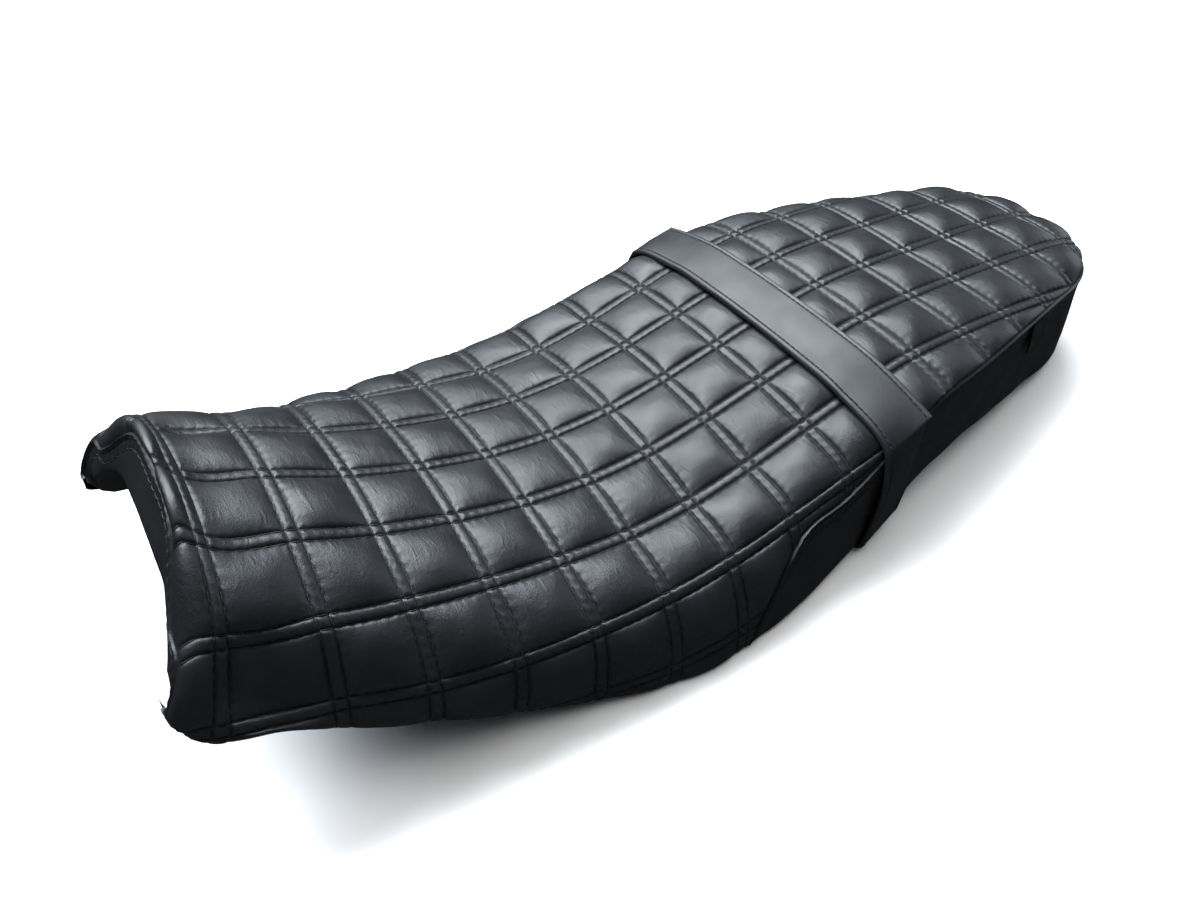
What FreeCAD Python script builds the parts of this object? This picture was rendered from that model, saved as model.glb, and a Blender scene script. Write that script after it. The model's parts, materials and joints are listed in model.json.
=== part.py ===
import FreeCAD, Part
import math
import os

import Sketcher

# Dual motorcycle seat: a moulded pan, a foam core, a quilted cover with a plain side band, a passenger
# strap and the hardware under the pan. Everything is laid out in the frame the seat has on its bike:
# x runs rearward from the nose, y to the rider's right, z up. REST then sets the whole seat down as it
# lies on a flat surface, on its side hems and its tail, with the origin under the middle of its box.

V = FreeCAD.Vector
doc = FreeCAD.newDocument("motorcycle_seat")

# ---------------------------------------------------------------- driving dimensions (millimetres)
DIMENSIONS = (
    ("cover_wall", 5.0),         # vinyl laminated to quilting foam
    ("vinyl_wall", 1.6),         # plain vinyl with its backing
    ("hem_wall", 2.5),           # folded cover under the edge of the pan
    ("hem_lip", 10.0),           # cover turned up inside the pan
    ("pan_wall", 3.5),
    ("fit_gap", 0.3),            # between soft pieces laid on each other
    ("leg_wall", 24.0),          # outer cover to the inner wall of the pan
    ("seat_end", 721.0),         # last section of the tail
    ("tail_start", 640.0),       # where the tail starts to round off
    ("tail_reach", 82.0),
    ("tail_lean", 9.0),          # the tail wall reaches further back at its hem
    ("tail_lean_start", 600.0),
    ("tail_lean_length", 110.0),
    ("mid_limit", 86.0),         # the middle of the half width lies at most this far out
    ("mid_share", 0.82),
    ("crease_start", 385.0),     # from here on the shoulder turns from a round into an edge
    ("crease_length", 60.0),
    ("roll_length", 30.0),       # the nose rolls over to the tank side
    ("roll_depth", 16.0),
    ("nose_reach", 4.0),         # the nose leans: its lower corners reach forward
    ("nose_lean", 24.0),         # and its crown lies back
    ("lean_length", 60.0),       # it is upright again this far back
    ("corner_radius", 16.0),     # lower front corner of each leg
    ("panel_depth", 70.0),       # plain panel under the nose
    ("rib_wall", 3.0),
    ("rib_height", 7.0),
    ("strap_place", 420.0),
    ("strap_width", 37.0),
    ("strap_wall", 4.5),
    ("strap_rise", 1.0),         # gap between the strap and the cover
    ("strap_upstand", 18.0),     # strap end turned up inside the pan
    ("plate_length", 34.0),
    ("plate_height", 13.0),
    ("plate_wall", 2.5),
    ("bolt_shank", 2.5),         # radius
    ("bolt_head", 4.6),
    ("bolt_head_height", 3.2),
    ("bolt_spacing", 20.0),
    ("bolt_rise", 9.0),          # bolts above the hem
    ("washer_outer", 5.4),
    ("washer_wall", 1.0),
    ("tee_flange", 7.5),
    ("tee_flange_wall", 1.5),
    ("tee_barrel", 3.6),
    ("bumper_foot", 11.0),
    ("bumper_height", 14.0),
    ("bumper_stem", 4.0),
    ("bumper_barb", 5.4),
    ("tongue_width", 44.0),
    ("tongue_tip_width", 30.0),
    ("tongue_wall", 3.0),
    ("tongue_front", 150.0),
    ("tongue_back", 242.0),
    ("rivet_shank", 2.4),
    ("rivet_head", 4.6),
    ("striker_place", 662.0),
    ("striker_length", 40.0),
    ("striker_width", 56.0),
    ("striker_wall", 3.0),
    ("loop_rod", 3.5),           # radius
    ("loop_half_width", 15.0),
    ("loop_drop", 12.5),
    ("loop_bend", 8.0),
    ("staple_crown", 10.0),
    ("staple_wire", 0.8),
    ("staple_rise", 6.5),
    ("tag_width", 24.0),
    ("tag_height", 22.0),
    ("tag_wall", 1.2),
    ("tag_place", 580.0),
    ("tag_clearance", 1.5),      # from the side band to the tag
    ("seam_drop", 1.5),          # the rear seam runs this far below the shoulder
    ("lining_gap", 0.4),         # between the turned-in cover and the strap inside the pan
    ("bore_gap", 0.3),           # round a bolt in its plate or washer
    ("press_gap", 0.05),         # round a part pushed into the pan
    ("thread_gap", 0.02),        # round a screw in its nut
    ("rest_tilt", 6.4),          # degrees, nose up
    ("rest_shift", -368.07),
    ("rest_lift", 29.46),
)

# One row per cross-section, from the nose to the tail: its place along x, the crown height, how far the
# top has dropped at mid width, the shoulder (which becomes the seam of the side band towards the rear),
# the hem, and the height and corner radius of the tunnel under the pan. The last row lies behind the
# tail and only gives the curves their direction there.
COLUMNS = ("place", "crown", "drop", "edge_y", "edge_z", "hem_y", "hem_z", "tunnel_z", "tunnel_r")
SECTIONS = (
    (0, 158, 34, 97, 107.5, 107, 63, 112, 55),
    (30, 132.5, 20, 95, 76.5, 109, 60, 108, 52),
    (70, 118, 22.5, 106, 66.5, 114, 39, 84, 42),
    (115, 99, 14, 118, 57, 125, 25, 58, 30),
    (160, 85.5, 9.5, 126, 53.5, 134, 10, 38, 20),
    (205, 77, 7, 131, 53, 144, 1, 29, 16),
    (250, 75, 7.5, 133, 55, 154, -1, 29, 16),
    (295, 80.5, 7.5, 132.5, 63, 157, 4, 30.5, 16),
    (335, 91, 6.5, 132, 75, 153.5, 10, 36, 16),
    (375, 104, 4.5, 132, 87, 146, 17, 47, 16),
    (420, 118.5, 3.5, 130, 103, 135, 28, 58, 16),
    (460, 129, 3.5, 124, 117.5, 128.5, 44, 65, 16),
    (510, 135, 4.5, 116, 122.5, 120, 56, 69, 12),
    (560, 137.5, 5, 106, 126, 110, 55, 70, 12),
    (640, 140, 5.5, 88, 128, 94, 53, 70, 12),
    (690, 139.2, 5, 77.2, 127.2, 83.2, 52.6, 70, 12),
    (708, 136.2, 4, 73.3, 126.9, 79.3, 52.4, 70, 12),
    (722, 130.5, 2, 70.2, 126.6, 76.2, 52.3, 70, 12),
    (760, 115, 0, 62, 126, 68, 52, 70, 12),
)

sheet = doc.addObject("Spreadsheet::Sheet", "dimensions")
cells = list(DIMENSIONS)
for number, row in enumerate(SECTIONS, 1):
    cells += [(f"{column}_of_section_{number}", value) for column, value in zip(COLUMNS, row)]
for line, (alias, value) in enumerate(cells, 1):
    sheet.set(f"A{line}", alias)
    sheet.set(f"B{line}", str(value))
    sheet.setAlias(f"B{line}", alias)
doc.recompute()


def size(alias):
    return float(sheet.get(alias))


RAILS = {
    column: [size(f"{column}_of_section_{number}") for number in range(1, len(SECTIONS) + 1)]
    for column in COLUMNS
}
REST = FreeCAD.Placement(
    V(size("rest_shift"), 0, size("rest_lift")), FreeCAD.Rotation(V(0, 1, 0), size("rest_tilt"))
)
DEEP = 60.0                      # how far a cutting shape reaches past the seat
AHEAD = -20.0                    # where shapes that cut through the nose start


# ---------------------------------------------------------------- the shape of the seat
def ease(t):
    t = max(0.0, min(1.0, t))
    return t * t * (3 - 2 * t)


def hermite(p, q, leave, arrive, t):
    return (
        (2 * t**3 - 3 * t**2 + 1) * p
        + (t**3 - 2 * t**2 + t) * leave
        + (3 * t**2 - 2 * t**3) * q
        + (t**3 - t**2) * arrive
    )


def rail(column, x):
    """A smooth curve through one column of the section table."""
    places, values = RAILS["place"], RAILS[column]
    last = len(places) - 1
    i = 0
    while i < last - 1 and places[i + 1] <= x:
        i += 1

    def chord(k):
        return (values[k + 1] - values[k]) / (places[k + 1] - places[k])

    def slope(k):
        if k == 0:
            return chord(0)
        if k == last:
            return chord(last - 1)
        before, after = places[k] - places[k - 1], places[k + 1] - places[k]
        return (chord(k - 1) * after + chord(k) * before) / (before + after)

    span = places[i + 1] - places[i]
    t = (x - places[i]) / span
    return hermite(values[i], values[i + 1], slope(i) * span, slope(i + 1) * span, t)


def tail_taper(x):
    """Share of the width that is left at x where the tail rounds off in plan."""
    t = (x - size("tail_start")) / size("tail_reach")
    return 1.0 if t <= 0 else (1 - t**2.5) ** 0.4


def hem_height(x):
    """Height of the hem, with the rounded lower front corner of the leg."""
    short = max(0.0, size("corner_radius") - x)
    return rail("hem_z", x) + size("corner_radius") - math.sqrt(size("corner_radius") ** 2 - short**2)


def nose_roll(x):
    t = max(0.0, 1 - x / size("roll_length"))
    return size("roll_depth") * (1 - math.sqrt(1 - t * t))


def unit(p, q):
    length = math.hypot(q[0] - p[0], q[1] - p[1])
    return ((q[0] - p[0]) / length, (q[1] - p[1]) / length), length


def mix(a, b, share):
    return (a[0] * (1 - share) + b[0] * share, a[1] * (1 - share) + b[1] * share)


def outline(x, inset, hem_lift):
    """Right half of the outer section at x: the top from the centre to the edge, the side to the hem.

    inset moves it inwards (outwards where negative) and hem_lift raises its lower end."""
    inset = inset + nose_roll(x)
    taper = tail_taper(x + max(0.0, inset))
    edge = (rail("edge_y", x) * taper, rail("edge_z", x))
    hem = (rail("hem_y", x) * taper - inset, hem_height(x) + hem_lift)
    mid_y = min(size("mid_limit"), size("mid_share") * edge[0])
    mid = (mid_y, rail("crown", x) - rail("drop", x))
    crease = ease((x - size("crease_start")) / size("crease_length"))
    along = mix(unit(mid, edge)[0], unit(edge, hem)[0], 0.5)
    outward = mix((-along[1], along[0]), (1.0, 1.0), crease)
    edge = (edge[0] - inset * outward[0], edge[1] - inset * outward[1])
    crown_z = rail("crown", x) - inset
    mid_y = min(size("mid_limit"), size("mid_share") * edge[0])
    low_drop = min(3.5, 0.2 * rail("drop", x))
    points = [
        (0.0, crown_z),
        (mid_y / 2, crown_z - low_drop),
        (mid_y, crown_z - rail("drop", x)),
        edge,
        hem,
    ]
    chords = [unit(points[k], points[k + 1]) for k in range(4)]

    def through(k):
        share = chords[k - 1][1] / (chords[k - 1][1] + chords[k][1])
        return mix(chords[k][0], chords[k - 1][0], share)

    top_end = mix(through(3), mix(through(2), chords[2][0], 1.5), crease)
    side_start = mix(through(3), chords[3][0], crease)
    leaving = [(1.0, 0.0), through(1), through(2), side_start]
    arriving = [through(1), through(2), top_end, (0.0, -1.3)]

    def span(k, steps):
        reach = chords[k][1]
        return [
            tuple(
                hermite(
                    points[k][c], points[k + 1][c], leaving[k][c] * reach, arriving[k][c] * reach, n / steps
                )
                for c in (0, 1)
            )
            for n in range(steps + 1)
        ]

    top = span(0, 3) + span(1, 3)[1:] + span(2, 4)[1:]
    return top, span(3, 5)


def nose_slant(x, z):
    """How far back the leaning nose lies at height z."""
    hem, crown = hem_height(x), rail("crown", x) - nose_roll(x)
    return (size("nose_reach") + size("nose_lean")) * (z - hem) / (crown - hem) - size("nose_reach")


def place_point(x, y, z):
    """A point of the section at x: the nose leans back towards its crown, the tail towards its hem."""
    nose = nose_slant(x, z) * max(0.0, 1 - x / size("lean_length")) ** 2
    height = rail("edge_z", x)
    tail = size("tail_lean") * ease((x - size("tail_lean_start")) / size("tail_lean_length"))
    tail *= (height - z) / (height - rail("hem_z", x))
    return V(x + nose + tail, y, z)


def curve(points):
    spline = Part.BSplineCurve()
    last = len(points) - 1
    spline.interpolate(Points=points, Parameters=[n / last for n in range(last + 1)])
    return spline.toShape()


NOSE_STEPS = (0, 2, 5, 9, 14, 21, 30)
BODY_STEPS = (50, 70, 90, 115, 137, 160, 182, 205, 228, 250, 272, 295, 315, 335, 355, 375, 392, 406, 420,
              440, 460, 485, 510, 535, 560, 600, 640)
TAIL_STEPS = (660, 676, 690, 701, 710, 716)


def stations(start, end, steps=NOSE_STEPS + BODY_STEPS + TAIL_STEPS):
    """Places of the sections between start and end, both included."""
    return [start] + [x for x in steps if start + 1.0 < x < end - 2.0] + [end]


def body_volume(inset=0.0, hem_lift=0.0, start=0.0, end=None):
    """Solid inside the outer surface, closed by a flat bottom at the hem."""
    wires = []
    for x in stations(start, size("seat_end") if end is None else end):
        top, side = outline(x, inset, hem_lift)
        right = [place_point(x, y, z) for y, z in side]
        left = [V(p.x, -p.y, p.z) for p in reversed(right)]
        over = [place_point(x, -y, z) for y, z in reversed(top[1:])]
        over += [place_point(x, y, z) for y, z in top]
        edges = [curve(left), curve(over), curve(right), Part.makeLine(right[-1], left[0])]
        wires.append(Part.Wire(edges))
    return Part.makeLoft(wires, True, False)


def tunnel_sizes(x, grow):
    """Half width, height and corner radius of the tunnel under the pan at x."""
    t = max(0.0, (x - grow - size("tail_start")) / (size("tail_reach") + 10.0))
    width = (rail("hem_y", x) - size("leg_wall")) * (1 - t**2.5) ** 0.4
    return width + grow, rail("tunnel_z", x) + grow, rail("tunnel_r", x) + grow


def tunnel_volume(grow=0.0, start=AHEAD, end=None):
    """Solid under the pan's lower surface, grown by grow; it reaches far below the hem."""
    wires = []
    end = size("seat_end") - size("leg_wall") + grow if end is None else end
    for x in stations(start, end, (0, 30) + BODY_STEPS + TAIL_STEPS[:3]):
        at = max(0.0, x)
        wide, high, radius = tunnel_sizes(at, grow)
        swing = radius * math.cos(math.pi / 4)
        left = [V(x, -wide, -DEEP), V(x, -wide, high - radius)]
        right = [V(x, wide, high - radius), V(x, wide, -DEEP)]
        left_top, right_top = V(x, radius - wide, high), V(x, wide - radius, high)
        left_mid = V(x, radius - wide - swing, high - radius + swing)
        right_mid = V(x, wide - radius + swing, high - radius + swing)
        edges = [
            Part.makeLine(*left),
            Part.Arc(left[1], left_mid, left_top).toShape(),
            Part.makeLine(left_top, right_top),
            Part.Arc(right_top, right_mid, right[0]).toShape(),
            Part.makeLine(*right),
            Part.makeLine(right[1], left[0]),
        ]
        wires.append(Part.Wire(edges))
    return Part.makeLoft(wires, True, False)


def above_hem(lift):
    """Everything higher than lift above the hem."""
    reach, behind = 3 * DEEP, RAILS["place"][-1]
    hem = [V(x, -reach, hem_height(max(0.0, x)) + lift) for x in stations(AHEAD, behind)]
    low, high = hem[-1], V(behind, -reach, 2 * reach)
    corner = V(AHEAD, -reach, 2 * reach)
    edges = [curve(hem), Part.makeLine(low, high), Part.makeLine(high, corner), Part.makeLine(corner, hem[0])]
    return Part.Face(Part.Wire(edges)).extrude(V(0, 2 * reach, 0))


# The seam between the quilted top and the side band: it rises from the hem at mid length, then follows
# the shoulder round the tail.
SEAM_RISE = ((288, -14), (300, 18), (333, 61), (376, 79), (410, 95.5))
SEAM_ALONG_SHOULDER = (440, 485, 535, 600, 680, 745)


def ahead_of_nose(offset):
    """Everything in front of the leaning nose, moved back by offset."""
    low, high, ahead, reach = -DEEP, 4 * DEEP, 4 * AHEAD, 3 * DEEP
    corners = [(offset + nose_slant(0.0, z), z) for z in (low, high)] + [(ahead, high), (ahead, low)]
    side = Part.makePolygon([V(x, -reach, z) for x, z in corners + corners[:1]])
    return Part.Face(side).extrude(V(0, 2 * reach, 0))


def seam_cutter():
    """Solid below the seam."""
    reach = 3 * DEEP
    seam = [V(x, -reach, z) for x, z in SEAM_RISE]
    seam += [V(x, -reach, rail("edge_z", x) - size("seam_drop")) for x in SEAM_ALONG_SHOULDER]
    behind, ahead = V(seam[-1].x, -reach, -DEEP), V(seam[0].x, -reach, -DEEP)
    edges = [curve(seam), Part.makeLine(seam[-1], behind), Part.makeLine(behind, ahead),
             Part.makeLine(ahead, seam[0])]
    return Part.Face(Part.Wire(edges)).extrude(V(0, 2 * reach, 0))


def add_shape(name, shape):
    """A free-form piece: the feature holds the shape and REST sets it down."""
    piece = doc.addObject("Part::Feature", name)
    piece.Label = name
    piece.Shape = shape
    piece.Placement = REST
    return piece


# ---------------------------------------------------------------- where the hardware sits
def tunnel_wall(x, z):
    """Half width of the tunnel at x and height z, and the tilt of its wall there."""
    wide, high, radius = tunnel_sizes(x, 0.0)
    rise = max(0.0, z - high + radius) / radius
    tilt = math.asin(min(1.0, rise))
    return wide - radius + radius * math.cos(tilt), tilt


def wall_frame(x, z, side):
    """Placement on the tunnel wall: local z points out of the seat through the pan, local x rearward.

    side is 1 on the right and -1 on the left."""
    y, tilt = tunnel_wall(x, z)
    slope = (tunnel_wall(x + 1.0, z)[0] - tunnel_wall(x - 1.0, z)[0]) / 2.0
    along = V(1, side * slope, 0).normalize()
    up = V(0, -side * math.sin(tilt), math.cos(tilt))
    out = up.cross(along) if side > 0 else along.cross(up)
    out.normalize()
    turn = FreeCAD.Rotation(along, V(0, 0, 0), out, "ZXY")
    return FreeCAD.Placement(V(x, side * y, z), turn)


def seated(placement):
    return REST.multiply(placement)


def bind(piece, **expressions):
    for name, expression in expressions.items():
        piece.setExpression(name, expression)


def cylinder(name, radius, height, placement):
    piece = doc.addObject("Part::Cylinder", name)
    bind(piece, Radius=radius, Height=height)
    piece.Placement = placement
    return piece


def cone(name, lower, upper, height, placement):
    piece = doc.addObject("Part::Cone", name)
    bind(piece, Radius1=lower, Radius2=upper, Height=height)
    piece.Placement = placement
    return piece


def fused(name, pieces):
    joined = doc.addObject("Part::MultiFuse", name)
    joined.Shapes = pieces
    return joined


def group(label, pieces):
    together = doc.addObject("Part::Compound", label)
    together.Links = pieces
    together.Label = label
    return together


def shifted(placement, z):
    """The same placement, moved by z along its own z axis."""
    return placement.multiply(FreeCAD.Placement(V(0, 0, z), FreeCAD.Rotation()))


def origin_plane(body, role):
    return next(feature for feature in body.Origin.OriginFeatures if feature.Role == role)


def drawn(body, name, corners, holes=()):
    """Sketch on the body's XY plane: a closed outline of corners and round holes, all given as
    expressions, so that every point and radius follows the dimensions sheet."""
    sketch = body.newObject("Sketcher::SketchObject", name)
    sketch.AttachmentSupport = (origin_plane(body, "XY_Plane"), [""])
    sketch.MapMode = "FlatFace"
    at = [V(value(x), value(y), 0) for x, y in corners]
    count = len(at)
    for k in range(count):
        sketch.addGeometry(Part.LineSegment(at[k], at[(k + 1) % count]), False)
    for k in range(count):
        sketch.addConstraint(Sketcher.Constraint("Coincident", k, 2, (k + 1) % count, 1))
    for k, (x, y) in enumerate(corners):
        pin_point(sketch, k, 1, x, y)
    for x, y, radius in holes:
        circle = Part.Circle(V(value(x), value(y), 0), V(0, 0, 1), value(radius))
        hole = sketch.addGeometry(circle, False)
        pin_point(sketch, hole, 3, x, y)
        row = sketch.addConstraint(Sketcher.Constraint("Radius", hole, value(radius)))
        sketch.setExpression(f"Constraints[{row}]", radius)
    return sketch


def pin_point(sketch, geometry, vertex, x, y):
    for kind, expression in (("DistanceX", x), ("DistanceY", y)):
        row = sketch.addConstraint(Sketcher.Constraint(kind, -1, 1, geometry, vertex, value(expression)))
        sketch.setExpression(f"Constraints[{row}]", expression)


def value(expression):
    return float(sheet.evalExpression(expression.replace("dimensions.", "")))


def plate(label, corners, holes, thickness, placement):
    """Flat plate with round holes: one padded sketch."""
    body = doc.addObject("PartDesign::Body", label)
    body.Label = label
    sketch = drawn(body, f"{label}_outline", corners, holes)
    pad = body.newObject("PartDesign::Pad", f"{label}_pad")
    pad.Profile = sketch
    pad.setExpression("Length", thickness)
    body.Placement = placement
    return body


# ---------------------------------------------------------------- strap hardware
D = "dimensions."
STRAP_Z = rail("hem_z", size("strap_place")) + size("bolt_rise")
SIDES = (("left", -1), ("right", 1))
strap_bolts, strap_washers, strap_nuts = [], [], []
bores, pockets = [], []          # cut through the pan and its lining, and out of the foam
LONG_BORE = (-8.0, 14.0)         # start and length of a bore through strap, lining and pan
PAN_BORE = (-1.0, 6.0)           # the same through the pan alone
THREAD_START, THREAD_LENGTH = -4.0, "20"    # hole of a tee nut, longer than the nut
plate_depth = -(size("vinyl_wall") + size("lining_gap") + size("strap_wall") + size("plate_wall"))
for side_name, side in SIDES:
    hold = wall_frame(size("strap_place"), STRAP_Z, side)
    half_l, half_h, half_s = f"{D}plate_length / 2", f"{D}plate_height / 2", f"{D}bolt_spacing / 2"
    plate(
        f"strap_plate_{side_name}",
        [(f"-{half_l}", f"-{half_h}"), (half_l, f"-{half_h}"), (half_l, half_h), (f"-{half_l}", half_h)],
        [(f"-{half_s}", "0", f"{D}bolt_shank + {D}bore_gap"), (half_s, "0", f"{D}bolt_shank + {D}bore_gap")],
        f"{D}plate_wall",
        seated(shifted(hold, plate_depth)),
    )
    for end_name, step in (("front", -0.5), ("rear", 0.5)):
        spot = hold.multiply(FreeCAD.Placement(V(step * size("bolt_spacing"), 0, 0), FreeCAD.Rotation()))
        name = f"{side_name}_{end_name}"
        washer_z = plate_depth - size("washer_wall")
        head_z = washer_z - size("bolt_head_height")
        disc = cylinder(f"disc_{name}", f"{D}washer_outer", f"{D}washer_wall",
                        seated(shifted(spot, washer_z)))
        eye = cylinder(f"eye_{name}", f"{D}bolt_shank + {D}bore_gap", f"{D}washer_wall", disc.Placement)
        washer = doc.addObject("Part::Cut", f"washer_{name}")
        washer.Base, washer.Tool = disc, eye
        strap_washers.append(washer)
        head = cone(f"head_{name}", f"{D}bolt_head - 1", f"{D}bolt_head", f"{D}bolt_head_height",
                    seated(shifted(spot, head_z)))
        reach = f"{D}vinyl_wall + {D}strap_wall + {D}plate_wall + {D}washer_wall + {D}pan_wall + 2"
        shank = cylinder(f"shank_{name}", f"{D}bolt_shank", reach, seated(shifted(spot, washer_z)))
        strap_bolts.append(fused(f"bolt_{name}", [head, shank]))
        flange = cylinder(f"flange_{name}", f"{D}tee_flange", f"{D}tee_flange_wall",
                          seated(shifted(spot, size("pan_wall") + size("fit_gap"))))
        barrel = cylinder(f"barrel_{name}", f"{D}tee_barrel", f"{D}pan_wall",
                          seated(shifted(spot, size("fit_gap"))))
        thread = cylinder(f"thread_{name}", f"{D}bolt_shank + {D}thread_gap", THREAD_LENGTH,
                          seated(shifted(spot, THREAD_START)))
        nut = doc.addObject("Part::Cut", f"nut_{name}")
        nut.Base, nut.Tool = fused(f"nut_blank_{name}", [flange, barrel]), thread
        strap_nuts.append(nut)
        bores.append((spot, size("tee_barrel") + size("press_gap"), LONG_BORE))
        pockets.append((spot, size("tee_flange") + 0.5, (0.0, size("pan_wall") + 3.5)))
group("strap_bolts", strap_bolts)
group("strap_washers", strap_washers)
group("strap_tee_nuts", strap_nuts)


# ---------------------------------------------------------------- rubber bumpers under the pan
def pan_frame(x, y):
    """Placement under the pan with local z up through it."""
    return FreeCAD.Placement(V(x, y, rail("tunnel_z", x)), FreeCAD.Rotation())


BUMPER_ROWS = (("front", 227.0, 62.0), ("middle", 530.0, 56.0), ("rear", 628.0, 50.0))
for row_name, x, y in BUMPER_ROWS:
    for side_name, side in SIDES:
        name = f"bumper_{row_name}_{side_name}"
        seat = pan_frame(x, side * y)
        foot = cone(f"foot_{name}", f"{D}bumper_foot - 1.5", f"{D}bumper_foot", f"{D}bumper_height",
                    seated(shifted(seat, -size("bumper_height"))))
        stem = cylinder(f"stem_{name}", f"{D}bumper_stem", f"{D}pan_wall + 0.4", seated(seat))
        barb = cone(f"barb_{name}", f"{D}bumper_barb", f"{D}bumper_stem - 1.5", "3.5",
                    seated(shifted(seat, size("pan_wall") + 0.4)))
        bumper = fused(name, [foot, stem, barb])
        bumper.Label = name
        bores.append((seat, size("bumper_stem") + size("press_gap"), PAN_BORE))
        pockets.append((seat, size("bumper_barb") + 0.8, (0.0, size("pan_wall") + 5.0)))


# ---------------------------------------------------------------- tongue that hooks under the tank bracket
front, back = f"{D}tongue_front", f"{D}tongue_back"
wide, tip = f"{D}tongue_width / 2", f"{D}tongue_tip_width / 2"
RIVETS = ((212.0, 14.0), (212.0, -14.0), (233.0, 14.0), (233.0, -14.0))
tongue_top = rail("tunnel_z", 205.0)
plate(
    "front_tongue",
    [(front, f"-{tip} + 5"), (f"{front} + 6", f"-{tip}"), (f"{front} + 40", f"-{wide}"), (back, f"-{wide}"),
     (back, wide), (f"{front} + 40", wide), (f"{front} + 6", tip), (front, f"{tip} - 5")],
    [(str(x), str(y), f"{D}rivet_shank + {D}press_gap") for x, y in RIVETS],
    f"{D}tongue_wall",
    seated(FreeCAD.Placement(V(0, 0, tongue_top - size("tongue_wall") - 0.2), FreeCAD.Rotation())),
)
rivets = []
for number, (x, y) in enumerate(RIVETS, 1):
    seat = FreeCAD.Placement(V(x, y, tongue_top), FreeCAD.Rotation())
    head_z = -(size("tongue_wall") + 0.2)
    head = cone(f"rivet_head_{number}", f"{D}rivet_head - 1.6", f"{D}rivet_head", "1.6",
                seated(shifted(seat, head_z - 1.6)))
    shank = cylinder(f"rivet_shank_{number}", f"{D}rivet_shank", f"{D}tongue_wall + {D}pan_wall + 0.6",
                     seated(shifted(seat, head_z)))
    tail_head = cylinder(f"rivet_tail_{number}", f"{D}rivet_head - 0.6", "1.4",
                         seated(shifted(seat, size("pan_wall") + 0.4)))
    rivets.append(fused(f"rivet_{number}", [head, shank, tail_head]))
    bores.append((seat, size("rivet_shank") + size("press_gap"), PAN_BORE))
    pockets.append((seat, size("rivet_head") + 0.5, (0.0, size("pan_wall") + 3.0)))
group("tongue_rivets", rivets)


# ---------------------------------------------------------------- rear latch striker
half_l, half_w = f"{D}striker_length / 2", f"{D}striker_width / 2"
corner_x, corner_y = size("striker_length") / 2 - 6.0, size("striker_width") / 2 - 6.0
SCREWS = [(sx * corner_x, sy * corner_y) for sx in (-1, 1) for sy in (-1, 1)]
under_tail = pan_frame(size("striker_place"), 0.0)
plate(
    "striker_plate",
    [(f"-{half_l}", f"-{half_w}"), (half_l, f"-{half_w}"), (half_l, half_w), (f"-{half_l}", half_w)],
    [(str(x), str(y), f"{D}bolt_shank + {D}bore_gap") for x, y in SCREWS],
    f"{D}striker_wall",
    seated(shifted(under_tail, -size("striker_wall"))),
)
loop_top = shifted(under_tail, -size("striker_wall"))
ACROSS = FreeCAD.Rotation(V(1, 0, 0), -90)
loop_parts = []
for side_name, side in SIDES:
    leg_at = V(0, side * size("loop_half_width"), -(size("loop_drop") - size("loop_bend")))
    leg = cylinder(f"loop_leg_{side_name}", f"{D}loop_rod", f"{D}loop_drop - {D}loop_bend",
                   seated(loop_top.multiply(FreeCAD.Placement(leg_at, FreeCAD.Rotation()))))
    bend = doc.addObject("Part::Torus", f"loop_bend_{side_name}")
    bind(bend, Radius1=f"{D}loop_bend", Radius2=f"{D}loop_rod")
    bend.Angle3 = 90
    bend_at = V(0, side * (size("loop_half_width") - size("loop_bend")), leg_at.z)
    quarter = FreeCAD.Rotation(V(0, side, 0), V(0, 0, 0), V(-side, 0, 0), "ZXY")
    bend.Placement = seated(loop_top.multiply(FreeCAD.Placement(bend_at, quarter)))
    loop_parts += [leg, bend]
bar_at = V(0, -(size("loop_half_width") - size("loop_bend")), -size("loop_drop"))
loop_parts.append(
    cylinder("loop_bar", f"{D}loop_rod", f"2 * ({D}loop_half_width - {D}loop_bend)",
             seated(loop_top.multiply(FreeCAD.Placement(bar_at, ACROSS))))
)
striker = fused("latch_striker", loop_parts)
striker.Label = "latch_striker"
screws, screw_nuts = [], []
for number, (x, y) in enumerate(SCREWS, 1):
    spot = under_tail.multiply(FreeCAD.Placement(V(x, y, 0), FreeCAD.Rotation()))
    head_z = -(size("striker_wall") + size("bolt_head_height"))
    head = cone(f"screw_head_{number}", f"{D}bolt_head - 1", f"{D}bolt_head", f"{D}bolt_head_height",
                seated(shifted(spot, head_z)))
    shank = cylinder(f"screw_shank_{number}", f"{D}bolt_shank", f"{D}striker_wall + {D}pan_wall + 4",
                     seated(shifted(spot, -size("striker_wall"))))
    screws.append(fused(f"screw_{number}", [head, shank]))
    flange = cylinder(f"screw_flange_{number}", f"{D}tee_flange - 1", f"{D}tee_flange_wall",
                      seated(shifted(spot, size("pan_wall"))))
    barrel = cylinder(f"screw_barrel_{number}", f"{D}tee_barrel", f"{D}pan_wall", seated(spot))
    thread = cylinder(f"screw_thread_{number}", f"{D}bolt_shank + {D}thread_gap", THREAD_LENGTH,
                      seated(shifted(spot, THREAD_START)))
    nut = doc.addObject("Part::Cut", f"screw_nut_{number}")
    nut.Base, nut.Tool = fused(f"screw_nut_blank_{number}", [flange, barrel]), thread
    screw_nuts.append(nut)
    bores.append((spot, size("tee_barrel") + size("press_gap"), PAN_BORE))
    pockets.append((spot, size("tee_flange"), (0.0, size("pan_wall") + 6.0)))
group("striker_screws", screws)
group("striker_tee_nuts", screw_nuts)


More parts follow.
